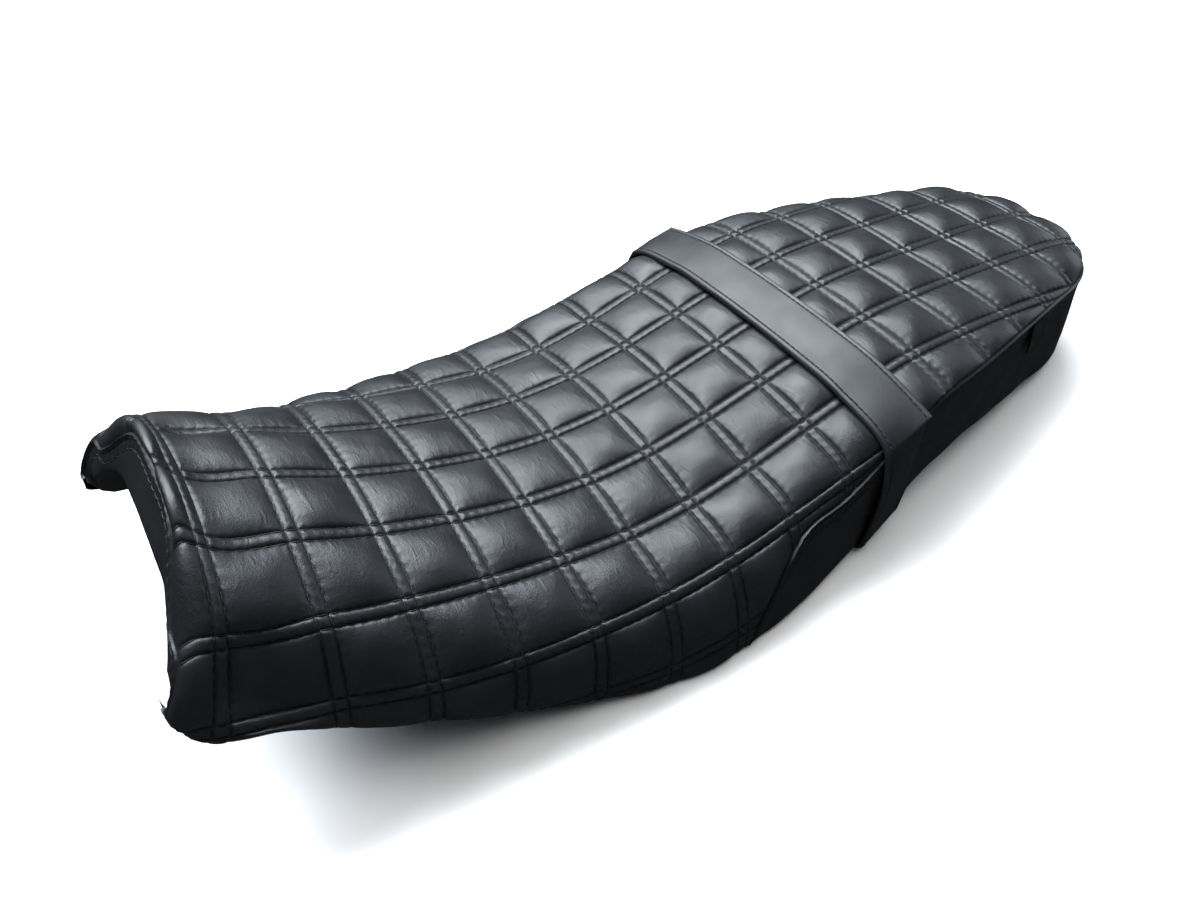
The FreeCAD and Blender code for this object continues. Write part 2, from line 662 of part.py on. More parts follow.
# ---------------------------------------------------------------- staples that hold the turned-in hem
def staple(spot):
    """Crown of one staple, lying on the turned-in hem."""
    wire, crown = size("staple_wire"), size("staple_crown")
    bar = Part.makeBox(crown, wire, wire, V(-crown / 2, -wire / 2, -size("vinyl_wall") - wire))
    bar.Placement = spot
    return bar


STAPLE_ROWS = (38, 64, 90, 116, 142, 168, 196, 224, 252, 280, 308, 336, 364, 390,
               450, 480, 510, 540, 570, 600, 630, 658)
staples = []
for x in STAPLE_ROWS:
    for side_name, side in SIDES:
        staples.append(staple(wall_frame(x, hem_height(x) + size("staple_rise"), side)))
tail_wall = size("seat_end") - size("leg_wall")
FACING_REAR = FreeCAD.Rotation(V(0, 1, 0), V(0, 0, 0), V(1, 0, 0), "ZXY")
for y in (-36, 0, 36):
    spot = FreeCAD.Placement(V(tail_wall, y, hem_height(tail_wall) + size("staple_rise")), FACING_REAR)
    staples.append(staple(spot))
staple_group = Part.makeCompound(staples)


def drilled(holes):
    solids = []
    for spot, radius, (low, length) in holes:
        hole = Part.makeCylinder(radius, length, V(0, 0, low))
        hole.Placement = spot
        solids.append(hole)
    return solids


# ---------------------------------------------------------------- pan, foam and covers
skin = size("cover_wall") + size("fit_gap")
outer = body_volume()
tunnel = tunnel_volume()
lining = tunnel_volume(-size("vinyl_wall"))
strap_bores = drilled(bores[:4])
cover_end = size("seat_end") - skin
hollow = body_volume(skin, -DEEP / 4, skin, cover_end)
cover = outer.cut(hollow).cut(lining)
below_seam = seam_cutter()
add_shape("cover_quilted_top", cover.cut(below_seam))
add_shape("cover_side_band", cover.common(below_seam))

turned_under = body_volume(skin, 0.0, skin, cover_end).cut(lining).cut(above_hem(size("hem_wall")))
turned_in = tunnel_volume().cut(lining)
turned_in = turned_in.common(above_hem(size("hem_wall"))).cut(above_hem(size("hem_lip")))
turned_in = turned_in.cut(ahead_of_nose(skin))
add_shape("cover_hem_strip", Part.makeCompound([turned_under, turned_in.cut(strap_bores)]))

panel_top = above_hem(size("hem_lip") + size("fit_gap"))
panel = tunnel_volume(-0.1, AHEAD, size("panel_depth")).cut(lining).cut(ahead_of_nose(skin))
add_shape("cover_front_panel", panel.common(panel_top))

pan_start = skin + 0.7
shell = tunnel_volume(size("pan_wall")).cut(tunnel)
shell = shell.common(above_hem(size("hem_wall") + size("fit_gap"))).cut(ahead_of_nose(pan_start))
RIB_PLACES = (275, 325, 375, 460, 500, 565, 600)
rib_zone = tunnel.common(above_hem(size("hem_lip") + 1.0)).cut(tunnel_volume(-size("rib_height")))
RIB_LINES = (-32, 32)            # the two ribs that run along the seat
rib_wall = size("rib_wall")
rib_plates = [
    Part.makeBox(rib_wall, 4 * DEEP, 3 * DEEP, V(x - rib_wall / 2, -2 * DEEP, -DEEP)) for x in RIB_PLACES
]
rib_plates += [
    Part.makeBox(RIB_PLACES[-1] - RIB_PLACES[0] + 35, rib_wall, 3 * DEEP,
                 V(RIB_PLACES[0] - 10, y - rib_wall / 2, -DEEP))
    for y in RIB_LINES
]
ribs = rib_zone.common(rib_plates[0].fuse(rib_plates[1:]))
pan = shell.fuse(ribs).removeSplitter().cut(drilled(bores))
add_shape("seat_pan", pan)

foam_gap = skin + size("fit_gap")
foam_blank = body_volume(foam_gap, size("hem_wall") + 1.5, foam_gap, size("seat_end") - foam_gap)
pan_clearance = tunnel_volume(size("pan_wall") + size("fit_gap"))
add_shape("foam_core", foam_blank.cut(pan_clearance).cut(drilled(pockets)))
add_shape("cover_staples", staple_group)


# ---------------------------------------------------------------- passenger strap
def strap_shape():
    start = size("strap_place") - size("strap_width") / 2
    end = start + size("strap_width")
    rise, wall = size("strap_rise"), size("strap_wall")
    outside = body_volume(-rise - wall, -rise - wall, start, end)
    seat = body_volume(-rise, -rise, start - 5, end + 5)
    lined = size("vinyl_wall") + size("lining_gap")
    inside = tunnel_volume(-lined, start - 10, end + 10)
    above = inside.common(above_hem(size("strap_upstand")))
    deep = tunnel_volume(-lined - wall, start - 10, end + 10)
    return outside.cut(seat.cut(inside)).cut(above).cut(deep).cut(drilled(bores[:4]))


add_shape("grab_strap", strap_shape())

# ---------------------------------------------------------------- blank woven tag sewn into the left seam
tag_x = size("tag_place")
tag_slope = math.degrees(math.atan((rail("hem_y", tag_x + 10) - rail("hem_y", tag_x - 10)) / 20.0))
tag = doc.addObject("Part::Box", "woven_tag")
tag.Label = "woven_tag"
bind(tag, Length=f"{D}tag_width", Width=f"{D}tag_wall", Height=f"{D}tag_height")
tag_corner = V(
    tag_x,
    -rail("hem_y", tag_x) - size("tag_clearance") - size("tag_wall"),
    rail("edge_z", tag_x) - size("seam_drop") - 1.0 - size("tag_height"),
)
tag.Placement = seated(FreeCAD.Placement(tag_corner, FreeCAD.Rotation(V(0, 0, 1), -tag_slope)))

# ---------------------------------------------------------------- check and write
doc.recompute()
NODES = (
    ["cover_quilted_top", "cover_side_band", "cover_hem_strip", "cover_front_panel", "foam_core",
     "seat_pan", "cover_staples"]
    + ["grab_strap", "strap_plate_left", "strap_plate_right", "strap_bolts", "strap_washers"]
    + ["strap_tee_nuts", "woven_tag", "front_tongue", "tongue_rivets"]
    + ["striker_plate", "latch_striker", "striker_screws", "striker_tee_nuts"]
    + [f"bumper_{row}_{side}" for row, x, y in BUMPER_ROWS for side, sign in SIDES]
)
for piece in doc.Objects:
    if "Invalid" in piece.State or "Error" in piece.State:
        raise RuntimeError(f"{piece.Label} failed: {piece.State}")
pieces = [doc.getObjectsByLabel(label)[0] for label in NODES]
whole = FreeCAD.BoundBox()
os.makedirs("parts", exist_ok=True)
for piece in pieces:
    shape = piece.Shape
    if shape.isNull() or not shape.isValid() or not shape.Solids:
        raise RuntimeError(f"{piece.Label} has no valid solid")
    whole.add(shape.optimalBoundingBox(False))
    shape.exportStep(f"parts/{piece.Label}.step")
    print(f"{piece.Label}: {len(shape.Solids)} solids, {shape.Volume / 1000:.1f} cm3")
for axis in "XYZ":
    low, high = getattr(whole, f"{axis}Min"), getattr(whole, f"{axis}Max")
    print(f"{axis.lower()} from {low:.2f} to {high:.2f}")
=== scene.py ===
import json
import math

import bpy
import numpy as np
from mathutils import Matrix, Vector


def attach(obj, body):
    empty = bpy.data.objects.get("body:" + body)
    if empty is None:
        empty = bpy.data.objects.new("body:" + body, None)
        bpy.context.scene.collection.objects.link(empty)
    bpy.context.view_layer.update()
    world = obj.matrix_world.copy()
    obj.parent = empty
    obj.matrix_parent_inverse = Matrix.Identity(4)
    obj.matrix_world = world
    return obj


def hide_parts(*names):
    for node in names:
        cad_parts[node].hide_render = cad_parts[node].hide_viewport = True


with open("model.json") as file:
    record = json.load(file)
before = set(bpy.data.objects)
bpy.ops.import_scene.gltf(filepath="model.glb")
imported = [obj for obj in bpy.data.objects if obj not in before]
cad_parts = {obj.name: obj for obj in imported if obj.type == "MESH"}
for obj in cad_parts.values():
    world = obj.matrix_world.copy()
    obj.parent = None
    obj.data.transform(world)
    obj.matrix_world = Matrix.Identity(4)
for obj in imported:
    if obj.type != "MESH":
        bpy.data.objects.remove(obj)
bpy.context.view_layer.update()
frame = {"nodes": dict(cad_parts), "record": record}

# A dual motorcycle seat. Shapes are worked out in millimetres in the frame the seat has on its bike (x
# rearward from the nose, y to the rider's right, z up) and set down in the row frame by to_row().

# ------------------------------------------------------------------------------- sizes, in millimetres
PITCH = 45.0                     # quilting squares
ROW = 3.5                        # each needle row lies this far from its grid line
STITCH = PITCH / 7
FIRST_LINE = 17.8                # the first lateral line's distance from the nose, along the crown
LATERAL_LINES = 16
LENGTHWISE_LINES = 4             # on each side of the middle one
PILLOW = 3.6                     # height of a full pillow over its stitching
CHANNEL = 0.75                   # height of the ridge between two needle rows
GROOVE = 0.85
HEM_ROUND = 5.0                  # radius of the cover's lower edge
HEM_FLAT = 15.0                  # cover turned under before the hem strip starts
NOSE_LENGTH, NOSE_DEPTH = 30.0, 16.0
NOSE_REACH, NOSE_LEAN, LEAN_LENGTH = 7.0, 24.0, 60.0
LEG_CORNER = 16.0
TAIL_START, TAIL_REACH, TAIL_LEAN = 640.0, 88.0, 9.0
TIP = TAIL_START + TAIL_REACH
LEG_WALL, LINING = 24.0, 1.6
TUNNEL_END, TUNNEL_REACH = 697.0, 92.0
PANEL_DEPTH = 68.0
STRAP_PLACE, STRAP_WIDTH, STRAP_THICK = 420.0, 37.0, 3.6
TAG_PLACE, TAG_WIDTH, TAG_HEIGHT = 592.0, 24.0, 22.0
REST_TILT, REST_SHIFT, REST_LIFT = 6.4, -368.07, 29.46

# One row per cross-section: place along x, crown height, drop of the top at mid width, the shoulder, the
# hem, and the height and corner radius of the tunnel under the pan.
COLUMNS = ("place", "crown", "drop", "edge_y", "edge_z", "hem_y", "hem_z", "tunnel_z", "tunnel_r")
SECTIONS = np.array((
    (0, 158, 34, 97, 107.5, 107, 63, 112, 55),
    (30, 132.5, 20, 95, 76.5, 109, 60, 108, 52),
    (70, 118, 22.5, 106, 66.5, 114, 39, 84, 42),
    (115, 99, 14, 118, 57, 125, 25, 58, 30),
    (160, 85.5, 9.5, 126, 53.5, 134, 10, 38, 20),
    (205, 77, 7, 131, 53, 144, 1, 29, 16),
    (250, 75, 7.5, 133, 55, 154, -1, 29, 16),
    (295, 80.5, 7.5, 132.5, 63, 157, 4, 30.5, 16),
    (335, 91, 6.5, 132, 75, 153.5, 10, 36, 16),
    (375, 104, 4.5, 132, 87, 146, 17, 47, 16),
    (420, 118.5, 3.5, 130, 103, 135, 28, 58, 16),
    (460, 129, 3.5, 124, 117.5, 128.5, 44, 65, 16),
    (510, 135, 4.5, 116, 122.5, 120, 56, 69, 12),
    (560, 137.5, 5, 106, 126, 110, 55, 70, 12),
    (640, 140, 5.5, 88, 128, 94, 53, 70, 12),
    (690, 139.2, 5, 77.2, 127.2, 83.2, 52.6, 70, 12),
    (708, 136.2, 4, 73.3, 126.9, 79.3, 52.4, 70, 12),
    (722, 130.5, 2, 70.2, 126.6, 76.2, 52.3, 70, 12),
    (760, 115, 0, 62, 126, 68, 52, 70, 12),
), float)

# The seam between the quilted top and the side band: height against place, then along the shoulder.
SEAM_RISE = np.array(((288, -14), (300, 18), (333, 61), (376, 79), (410, 95.5)), float)
SEAM_DROP = 1.5


def to_row(points):
    """Millimetres on the bike to metres in the row frame."""
    tilt = math.radians(REST_TILT)
    x, y, z = np.moveaxis(np.asarray(points, float), -1, 0)
    along = x * math.cos(tilt) + z * math.sin(tilt) + REST_SHIFT
    up = z * math.cos(tilt) - x * math.sin(tilt) + REST_LIFT
    return np.stack([along, y, up], -1) / 1000.0


# ------------------------------------------------------------------------------- curves and sections
def ease(t):
    t = np.clip(t, 0.0, 1.0)
    return t * t * (3 - 2 * t)


def hermite(p, q, leave, arrive, t):
    return (
        (2 * t**3 - 3 * t**2 + 1) * p
        + (t**3 - 2 * t**2 + t) * leave
        + (3 * t**2 - 2 * t**3) * q
        + (t**3 - t**2) * arrive
    )


def smooth_through(places, values, x):
    """A smooth curve through values at places, read at x."""
    chords = np.diff(values) / np.diff(places)
    before, after = np.diff(places)[:-1], np.diff(places)[1:]
    inner = (chords[:-1] * after + chords[1:] * before) / (before + after)
    slopes = np.concatenate([chords[:1], inner, chords[-1:]])
    i = np.clip(np.searchsorted(places, x, side="right") - 1, 0, len(places) - 2)
    span = places[i + 1] - places[i]
    t = (x - places[i]) / span
    return hermite(values[i], values[i + 1], slopes[i] * span, slopes[i + 1] * span, t)


def rail(column, x):
    return smooth_through(SECTIONS[:, 0], SECTIONS[:, COLUMNS.index(column)], np.asarray(x, float))


def tail_taper(x):
    t = np.clip((x - TAIL_START) / TAIL_REACH, 0.0, 1.0)
    return (1 - t**2.5) ** 0.4


def hem_height(x):
    short = np.clip(LEG_CORNER - x, 0.0, LEG_CORNER)
    return rail("hem_z", x) + LEG_CORNER - np.sqrt(LEG_CORNER**2 - short**2)


def nose_roll(x):
    t = np.clip(1 - x / NOSE_LENGTH, 0.0, 1.0)
    return NOSE_DEPTH * (1 - np.sqrt(1 - t * t))


def seam_height(x):
    rising = smooth_through(SEAM_RISE[:, 0], SEAM_RISE[:, 1], x)
    level = rail("edge_z", x) - SEAM_DROP
    share = ease((x - 395.0) / 35.0)
    return rising * (1 - share) + level * share


def unit(v):
    length = np.linalg.norm(v, axis=-1, keepdims=True)
    return v / np.maximum(length, 1e-9), length


def blend(a, b, share):
    return a * (1 - share) + b * share


def outline(x, inset=0.0, steps=(30, 30, 36, 60)):
    """Right half sections at x (a vector): points (y, z) from the centre of the top down to the hem."""
    x = np.asarray(x, float)
    inset = inset + nose_roll(x)
    taper = tail_taper(x + np.maximum(0.0, inset))
    crown, drop = rail("crown", x) - inset, rail("drop", x)
    edge = np.stack([rail("edge_y", x) * taper, rail("edge_z", x)], -1)
    hem = np.stack([rail("hem_y", x) * taper - inset, hem_height(x)], -1)
    mid_y = np.minimum(86.0, 0.82 * edge[:, 0])
    mid = np.stack([mid_y, rail("crown", x) - drop], -1)
    crease = ease((x - 385.0) / 60.0)[:, None]
    along = blend(unit(edge - mid)[0], unit(hem - edge)[0], 0.5)
    outward = blend(np.stack([-along[:, 1], along[:, 0]], -1), np.ones((len(x), 2)), crease)
    edge = edge - inset[:, None] * outward
    mid_y = np.minimum(86.0, 0.82 * edge[:, 0])
    low_drop = np.minimum(3.5, 0.2 * drop)
    points = np.stack([
        np.stack([0 * x, crown], -1),
        np.stack([mid_y / 2, crown - low_drop], -1),
        np.stack([mid_y, crown - drop], -1),
        edge,
        hem,
    ], 1)
    heading, reach = unit(np.diff(points, axis=1))

    def through(k):
        share = reach[:, k - 1] / (reach[:, k - 1] + reach[:, k])
        return blend(heading[:, k], heading[:, k - 1], share)

    level = np.broadcast_to(np.array([1.0, 0.0]), (len(x), 2))
    down = np.broadcast_to(np.array([0.0, -1.3]), (len(x), 2))
    top_end = blend(through(3), blend(through(2), heading[:, 2], 1.5), crease)
    side_start = blend(through(3), heading[:, 3], crease)
    leaving = (level, through(1), through(2), side_start)
    arriving = (through(1), through(2), top_end, down)
    line = []
    for k, count in enumerate(steps):
        t = (np.arange(count + 1) / count)[1 if k else 0:, None, None]
        line.append(hermite(points[:, k], points[:, k + 1], leaving[k] * reach[:, k],
                            arriving[k] * reach[:, k], t))
    return np.moveaxis(np.concatenate(line), 0, 1)


def place_points(x, y, z):
    """Section points in space: the nose leans back towards its crown, the tail towards its hem."""
    hem, crown = hem_height(x), rail("crown", x) - nose_roll(x)
    slant = (NOSE_REACH + NOSE_LEAN) * (z - hem) / (crown - hem) - NOSE_REACH
    nose = slant * np.clip(1 - x / LEAN_LENGTH, 0.0, 1.0) ** 2
    height = rail("edge_z", x)
    tail = TAIL_LEAN * ease((x - 600.0) / 110.0) * (height - z) / (height - rail("hem_z", x))
    return np.stack([x + nose + tail, y, z], -1)


def path_length(points):
    step = np.linalg.norm(np.diff(points, axis=0), axis=1)
    return np.concatenate([[0.0], np.cumsum(step)])


# ------------------------------------------------------------------------------- the cover as a surface
class Cover:
    """The outer surface by u, the distance from the nose along the crown, and girth, the distance from
    the crown along the section, down the side, round the lower edge and under the seat."""

    GIRTH = 265

    def __init__(self):
        phi = np.linspace(math.pi / 2, 0, 160)
        x = np.concatenate([NOSE_LENGTH * (1 - np.sin(phi)), np.linspace(NOSE_LENGTH, TIP - 0.02, 3000)[1:]])
        length = path_length(place_points(x, 0 * x, rail("crown", x) - nose_roll(x)))
        self.end = length[-1]
        self.u = np.linspace(0.0, self.end, int(self.end) + 1)
        self.x = np.interp(self.u, length, x)
        girth = np.arange(self.GIRTH + 1.0)
        table, self.seam_girth, self.hem_girth = [], [], []
        lines = outline(self.x)
        heights = seam_height(self.x)
        for x, line, seam in zip(self.x, lines, heights):
            section, seam_at, hem_at = wrapped(line, seam)
            run = path_length(section)
            y, z = (np.interp(girth, run, section[:, k]) for k in (0, 1))
            table.append(place_points(x, y, z))
            self.seam_girth.append(seam_at)
            self.hem_girth.append(hem_at)
        self.table = np.array(table)
        self.seam_girth = np.where(self.x < 289.0, 1e3, self.seam_girth)
        self.hem_girth = np.array(self.hem_girth)
        du = np.gradient(self.table, axis=0)
        dg = np.gradient(self.table, axis=1)
        mirrored = dg[:, :1] * 0.0
        mirrored[..., 1] = 1.0
        dg[:, :1] = mirrored
        self.normals = unit(np.cross(du, dg))[0]

    def index(self, u):
        return np.clip(u / self.u[1], 0.0, len(self.u) - 1.001)

    def along(self, values, u):
        return np.interp(u, self.u, values)

    def read(self, table, u, girth):
        i, j = self.index(u), np.clip(np.abs(girth), 0.0, self.GIRTH - 0.001)
        i0, j0 = i.astype(int), j.astype(int)
        a, b = (i - i0)[..., None], (j - j0)[..., None]
        value = (table[i0, j0] * (1 - a) * (1 - b) + table[i0 + 1, j0] * a * (1 - b)
                 + table[i0, j0 + 1] * (1 - a) * b + table[i0 + 1, j0 + 1] * a * b)
        value[..., 1] *= np.where(girth < 0, -1.0, 1.0)
        return value

    def point(self, u, girth):
        return self.read(self.table, u, girth)

    def normal(self, u, girth):
        return unit(self.read(self.normals, u, girth))[0]


def wrapped(line, seam):
    """A section with its lower edge rounded and turned under, and the girths of its seam and hem."""
    run = path_length(line)
    hem_y, hem_z = line[-1]
    side = slice(len(line) // 2, None)
    low = np.interp(-(hem_z + HEM_ROUND), -line[side, 1], run[side])
    seam_at = np.interp(-seam, -line[side, 1], run[side])
    if seam < hem_z + HEM_ROUND:
        seam_at = low + (hem_z + HEM_ROUND - seam) * 1.6
    keep = line[run < low - 0.2]
    turn = np.linspace(0, math.pi / 2, 9)
    centre = np.array([hem_y - HEM_ROUND, hem_z + HEM_ROUND])
    arc = centre + HEM_ROUND * np.stack([np.cos(turn), -np.sin(turn)], -1)
    flat = arc[-1] - np.array([[HEM_FLAT, 0.0], [HEM_FLAT + 60.0, 0.0]])
    return np.concatenate([keep, arc, flat[:1], flat[1:]]), seam_at, low


def waves(a, b, shortest, longest, count, seed, along=None, spread=math.pi):
    """Smooth seeded unevenness, about -1 to 1, over two coordinates in millimetres."""
    draw = np.random.default_rng(seed)
    total = 0.0
    for _ in range(count):
        heading = (along or 0.0) + draw.uniform(-spread, spread)
        rate = 2 * math.pi / draw.uniform(shortest, longest)
        phase = draw.uniform(0, 2 * math.pi)
        total = total + np.sin(rate * (a * math.cos(heading) + b * math.sin(heading)) + phase)
    return total / math.sqrt(count)


def swell(distance, reach):
    """Rise of a padded surface at a distance from where it is sewn down."""
    p = np.clip(distance / reach, 0.0, 1.0)
    return (1 - (1 - p) ** 2.3) ** 0.85


class Quilt:
    """The quilted surface by two distances from the crossing of the first lateral line with the middle
    line: back along the crown and out along the section."""

    def __init__(self, cover):
        self.cover = cover
        self.start = -FIRST_LINE
        self.end = cover.end - FIRST_LINE
        self.last_line = PITCH * (LATERAL_LINES - 1)

    def u(self, back, out):
        """The lateral lines lean forward on the nose and rearward at the shoulders of the tail."""
        squares_out, squares_back = np.abs(out) / PITCH, np.maximum(back, 0.0) / PITCH
        lean = -14 * (squares_out / 3) ** 1.5 * np.exp(-squares_back / 2.5)
        lean = lean * (1 - 0.4 * np.exp(-2 * squares_back))
        lean = lean + 6 * (squares_out / 2) ** 1.5 * ease((squares_back - 9) / 3)
        lean = lean * ease((self.end - back) / 30.0)
        line = FIRST_LINE + lean
        return np.where(back < 0, line * (1 - back / self.start), line + back)

    def girth(self, back, out):
        """The second lengthwise lines swing outward at the nose."""
        squares_out = np.abs(out) / PITCH
        swing = 5.5 * np.exp(-np.maximum(back, 0.0) / PITCH - ((squares_out - 2) / 0.8) ** 2)
        return out + np.sign(out) * swing

    def limit(self, back):
        """How far out the quilting reaches: to the seam, or round the lower edge and under the seat."""
        out = np.full_like(back, 160.0)
        under = HEM_ROUND * math.pi / 2 + HEM_FLAT - HEM_ROUND
        for _ in range(12):
            u = self.u(back, out)
            seam = self.cover.along(self.cover.seam_girth, u)
            out = 0.5 * out + 0.5 * np.minimum(seam, self.cover.along(self.cover.hem_girth, u) + under)
        return out

    def relief(self, back, out, limit):
        u = self.u(back, out)
        line_back = PITCH * np.clip(np.round(back / PITCH), 0, LATERAL_LINES - 1)
        line_out = PITCH * np.clip(np.round(out / PITCH), -LENGTHWISE_LINES, LENGTHWISE_LINES)
        across, beside = back - line_back, out - line_out
        far_a, far_b = np.abs(across), np.abs(beside)
        reach = PITCH / 2 - ROW
        sewn = np.minimum(limit - np.abs(out), self.end - back)
        hem_girth = self.cover.along(self.cover.hem_girth, u)
        seam_side = self.cover.along(self.cover.seam_girth, u) < hem_girth + 16.0
        seam_fade = np.where(seam_side, swell(sewn, 11.0), 1.0)
        tail_fade = swell(self.end - back, 11.0)
        nose_fade = swell(u, 12.0)
        below = np.abs(out) - hem_girth
        hem_fade = 1 - ease((below + 6.0) / 14.0)
        x = np.interp(u, self.cover.u, self.cover.x)
        pressed = 1 - 0.5 * ease((STRAP_WIDTH / 2 + 7.0 - np.abs(x - STRAP_PLACE)) / 10.0)
        fade = seam_fade * tail_fade * nose_fade * hem_fade
        cell = np.floor(back / PITCH) * 7.0 + np.floor(out / PITCH) * 3.0
        fullness = 1 + 0.10 * np.sin(cell * 12.9898) + 0.05 * waves(back, out, 40, 90, 6, 3)
        in_pillow = swell(far_a - ROW, reach) * swell(far_b - ROW, reach)
        height = PILLOW * fullness * in_pillow * pressed
        height += in_pillow * (0.11 * waves(back, out, 13, 30, 12, 5))
        patches = ease(0.5 + 0.6 * waves(back, out, 30, 70, 6, 11))
        height += in_pillow * patches * 0.035 * waves(back, out, 5.5, 9, 14, 7, 0.45, 0.35)
        for near, run, other, seed in ((across, out, far_b, 21), (beside, back, far_a, 22)):
            far = np.abs(near)
            inside = np.clip(1 - (far / ROW) ** 2, 0.0, 1.0)
            phase = 2 * math.pi * run / STITCH
            twist = np.cos(phase + 1.3 * near / ROW + 0.6 * waves(run, near, 18, 50, 5, seed))
            crossing = 1 - 0.6 * (other < ROW)
            height += crossing * inside * (CHANNEL + 0.16 * twist)
            pulled = 0.5 + 0.5 * np.cos(phase)
            height -= GROOVE * np.exp(-((far - ROW) / 0.75) ** 2) * (0.6 + 0.85 * pulled)
            outside = np.clip(far - ROW, 0.0, None)
            pucker = np.exp(-outside / 3.0) * (far > ROW) * swell(outside, 1.6)
            uneven = 0.9 * waves(run, near, 20, 60, 5, seed + 4)
            height -= 0.2 * pucker * np.cos(phase + uneven)
        return height * fade - 0.9 * (1 - seam_fade * tail_fade) - 0.4 * (1 - nose_fade)

    def point(self, back, out, limit=None):
        if limit is None:
            limit = np.interp(back, self.grid_back, self.grid_limit)
        u = self.u(back, out)
        girth = self.girth(back, out)
        normal = self.cover.normal(u, girth)
        return self.cover.point(u, girth) + normal * self.relief(back, out, limit)[..., None], normal

    def spacing(self):
        """Mesh line places round one grid line: close at the needle rows, wider in the pillows."""
        inside = [0.0, 1.0, 2.0, 2.8, 3.2, ROW, 3.8]
        steps = np.arange(14) / 13.0
        outside = 4.2 + (PITCH / 2 - 4.2) * steps**1.15
        return np.concatenate([inside, outside])

    def mesh(self):
        half = self.spacing()
        around = np.concatenate([-half[::-1], half[1:]])
        back = np.concatenate([PITCH * k + around for k in range(LATERAL_LINES)])
        tail = np.linspace(self.last_line + PITCH / 2, self.end, 16)
        back = np.unique(np.round(np.concatenate([[self.start], back, tail]), 4))
        back = back[back >= self.start]
        out = np.concatenate([PITCH * k + around for k in range(-LENGTHWISE_LINES, LENGTHWISE_LINES + 1)])
        rest = np.arange(PITCH * (LENGTHWISE_LINES + 0.5) + 2.5, Cover.GIRTH - 5.0, 2.5)
        out = np.unique(np.round(np.concatenate([-rest, out, rest]), 4))
        limit = self.limit(back)
        self.grid_back, self.grid_limit = back, limit
        column = np.arange(len(out))
        first = np.searchsorted(out, -limit) - 1
        last = np.searchsorted(out, limit)
        held = np.clip(column[None, :], first[:, None], last[:, None])
        rows = np.broadcast_to(back[:, None], held.shape)
        spread = np.clip(np.broadcast_to(out, held.shape), -limit[:, None], limit[:, None])
        points, _ = self.point(rows, spread, np.broadcast_to(limit[:, None], held.shape))
        index = np.arange(len(back))[:, None] * len(out) + held
        quads = np.stack([index[:-1, :-1], index[1:, :-1], index[1:, 1:], index[:-1, 1:]], -1).reshape(-1, 4)
        return points.reshape(-1, 3), clean_faces(quads)


def clean_faces(quads):
    """Quads whose corners have run together become triangles or go away."""
    same = quads == np.roll(quads, -1, axis=1)
    distinct = 4 - same.sum(1)
    opposite = (quads[:, 0] == quads[:, 2]) | (quads[:, 1] == quads[:, 3])
    full = quads[(distinct == 4) & ~opposite].tolist()
    folded = (distinct == 3) & ~opposite
    triangles = [
        [corner for corner, gone in zip(quad, dropped) if not gone]
        for quad, dropped in zip(quads[folded].tolist(), same[folded].tolist())
    ]
    return full + triangles


# ------------------------------------------------------------------------------- making pieces
def make_piece(name, points, faces, material, replaces=(), sharp=40.0):
    """A mesh piece from points on the bike; points that no face uses are dropped."""
    used = np.unique(np.concatenate([np.asarray(face) for face in faces]))
    number = np.full(len(points), -1)
    number[used] = np.arange(len(used))
    mesh = bpy.data.meshes.new(name)
    faces = [number[face].tolist() for face in map(np.array, faces)]
    mesh.from_pydata(to_row(points[used]).tolist(), [], faces)
    mesh.validate()
    mesh.shade_smooth()
    mesh.set_sharp_from_angle(angle=math.radians(sharp))
    piece = bpy.data.objects.new(name, mesh)
    bpy.context.scene.collection.objects.link(piece)
    mesh.materials.append(material)
    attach(piece, "root")
    if replaces:
        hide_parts(*replaces)
    return piece


def grid_faces(rows, columns, close_rows=False, close_columns=False, offset=0):
    """Quads of a grid of points, row by row."""
    a = np.arange(rows if close_rows else rows - 1)
    b = np.arange(columns if close_columns else columns - 1)
    a, b = np.meshgrid(a, b, indexing="ij")
    a2, b2 = (a + 1) % rows, (b + 1) % columns
    quads = np.stack([a * columns + b, a2 * columns + b, a2 * columns + b2, a * columns + b2], -1)
    return (quads.reshape(-1, 4) + offset).tolist()


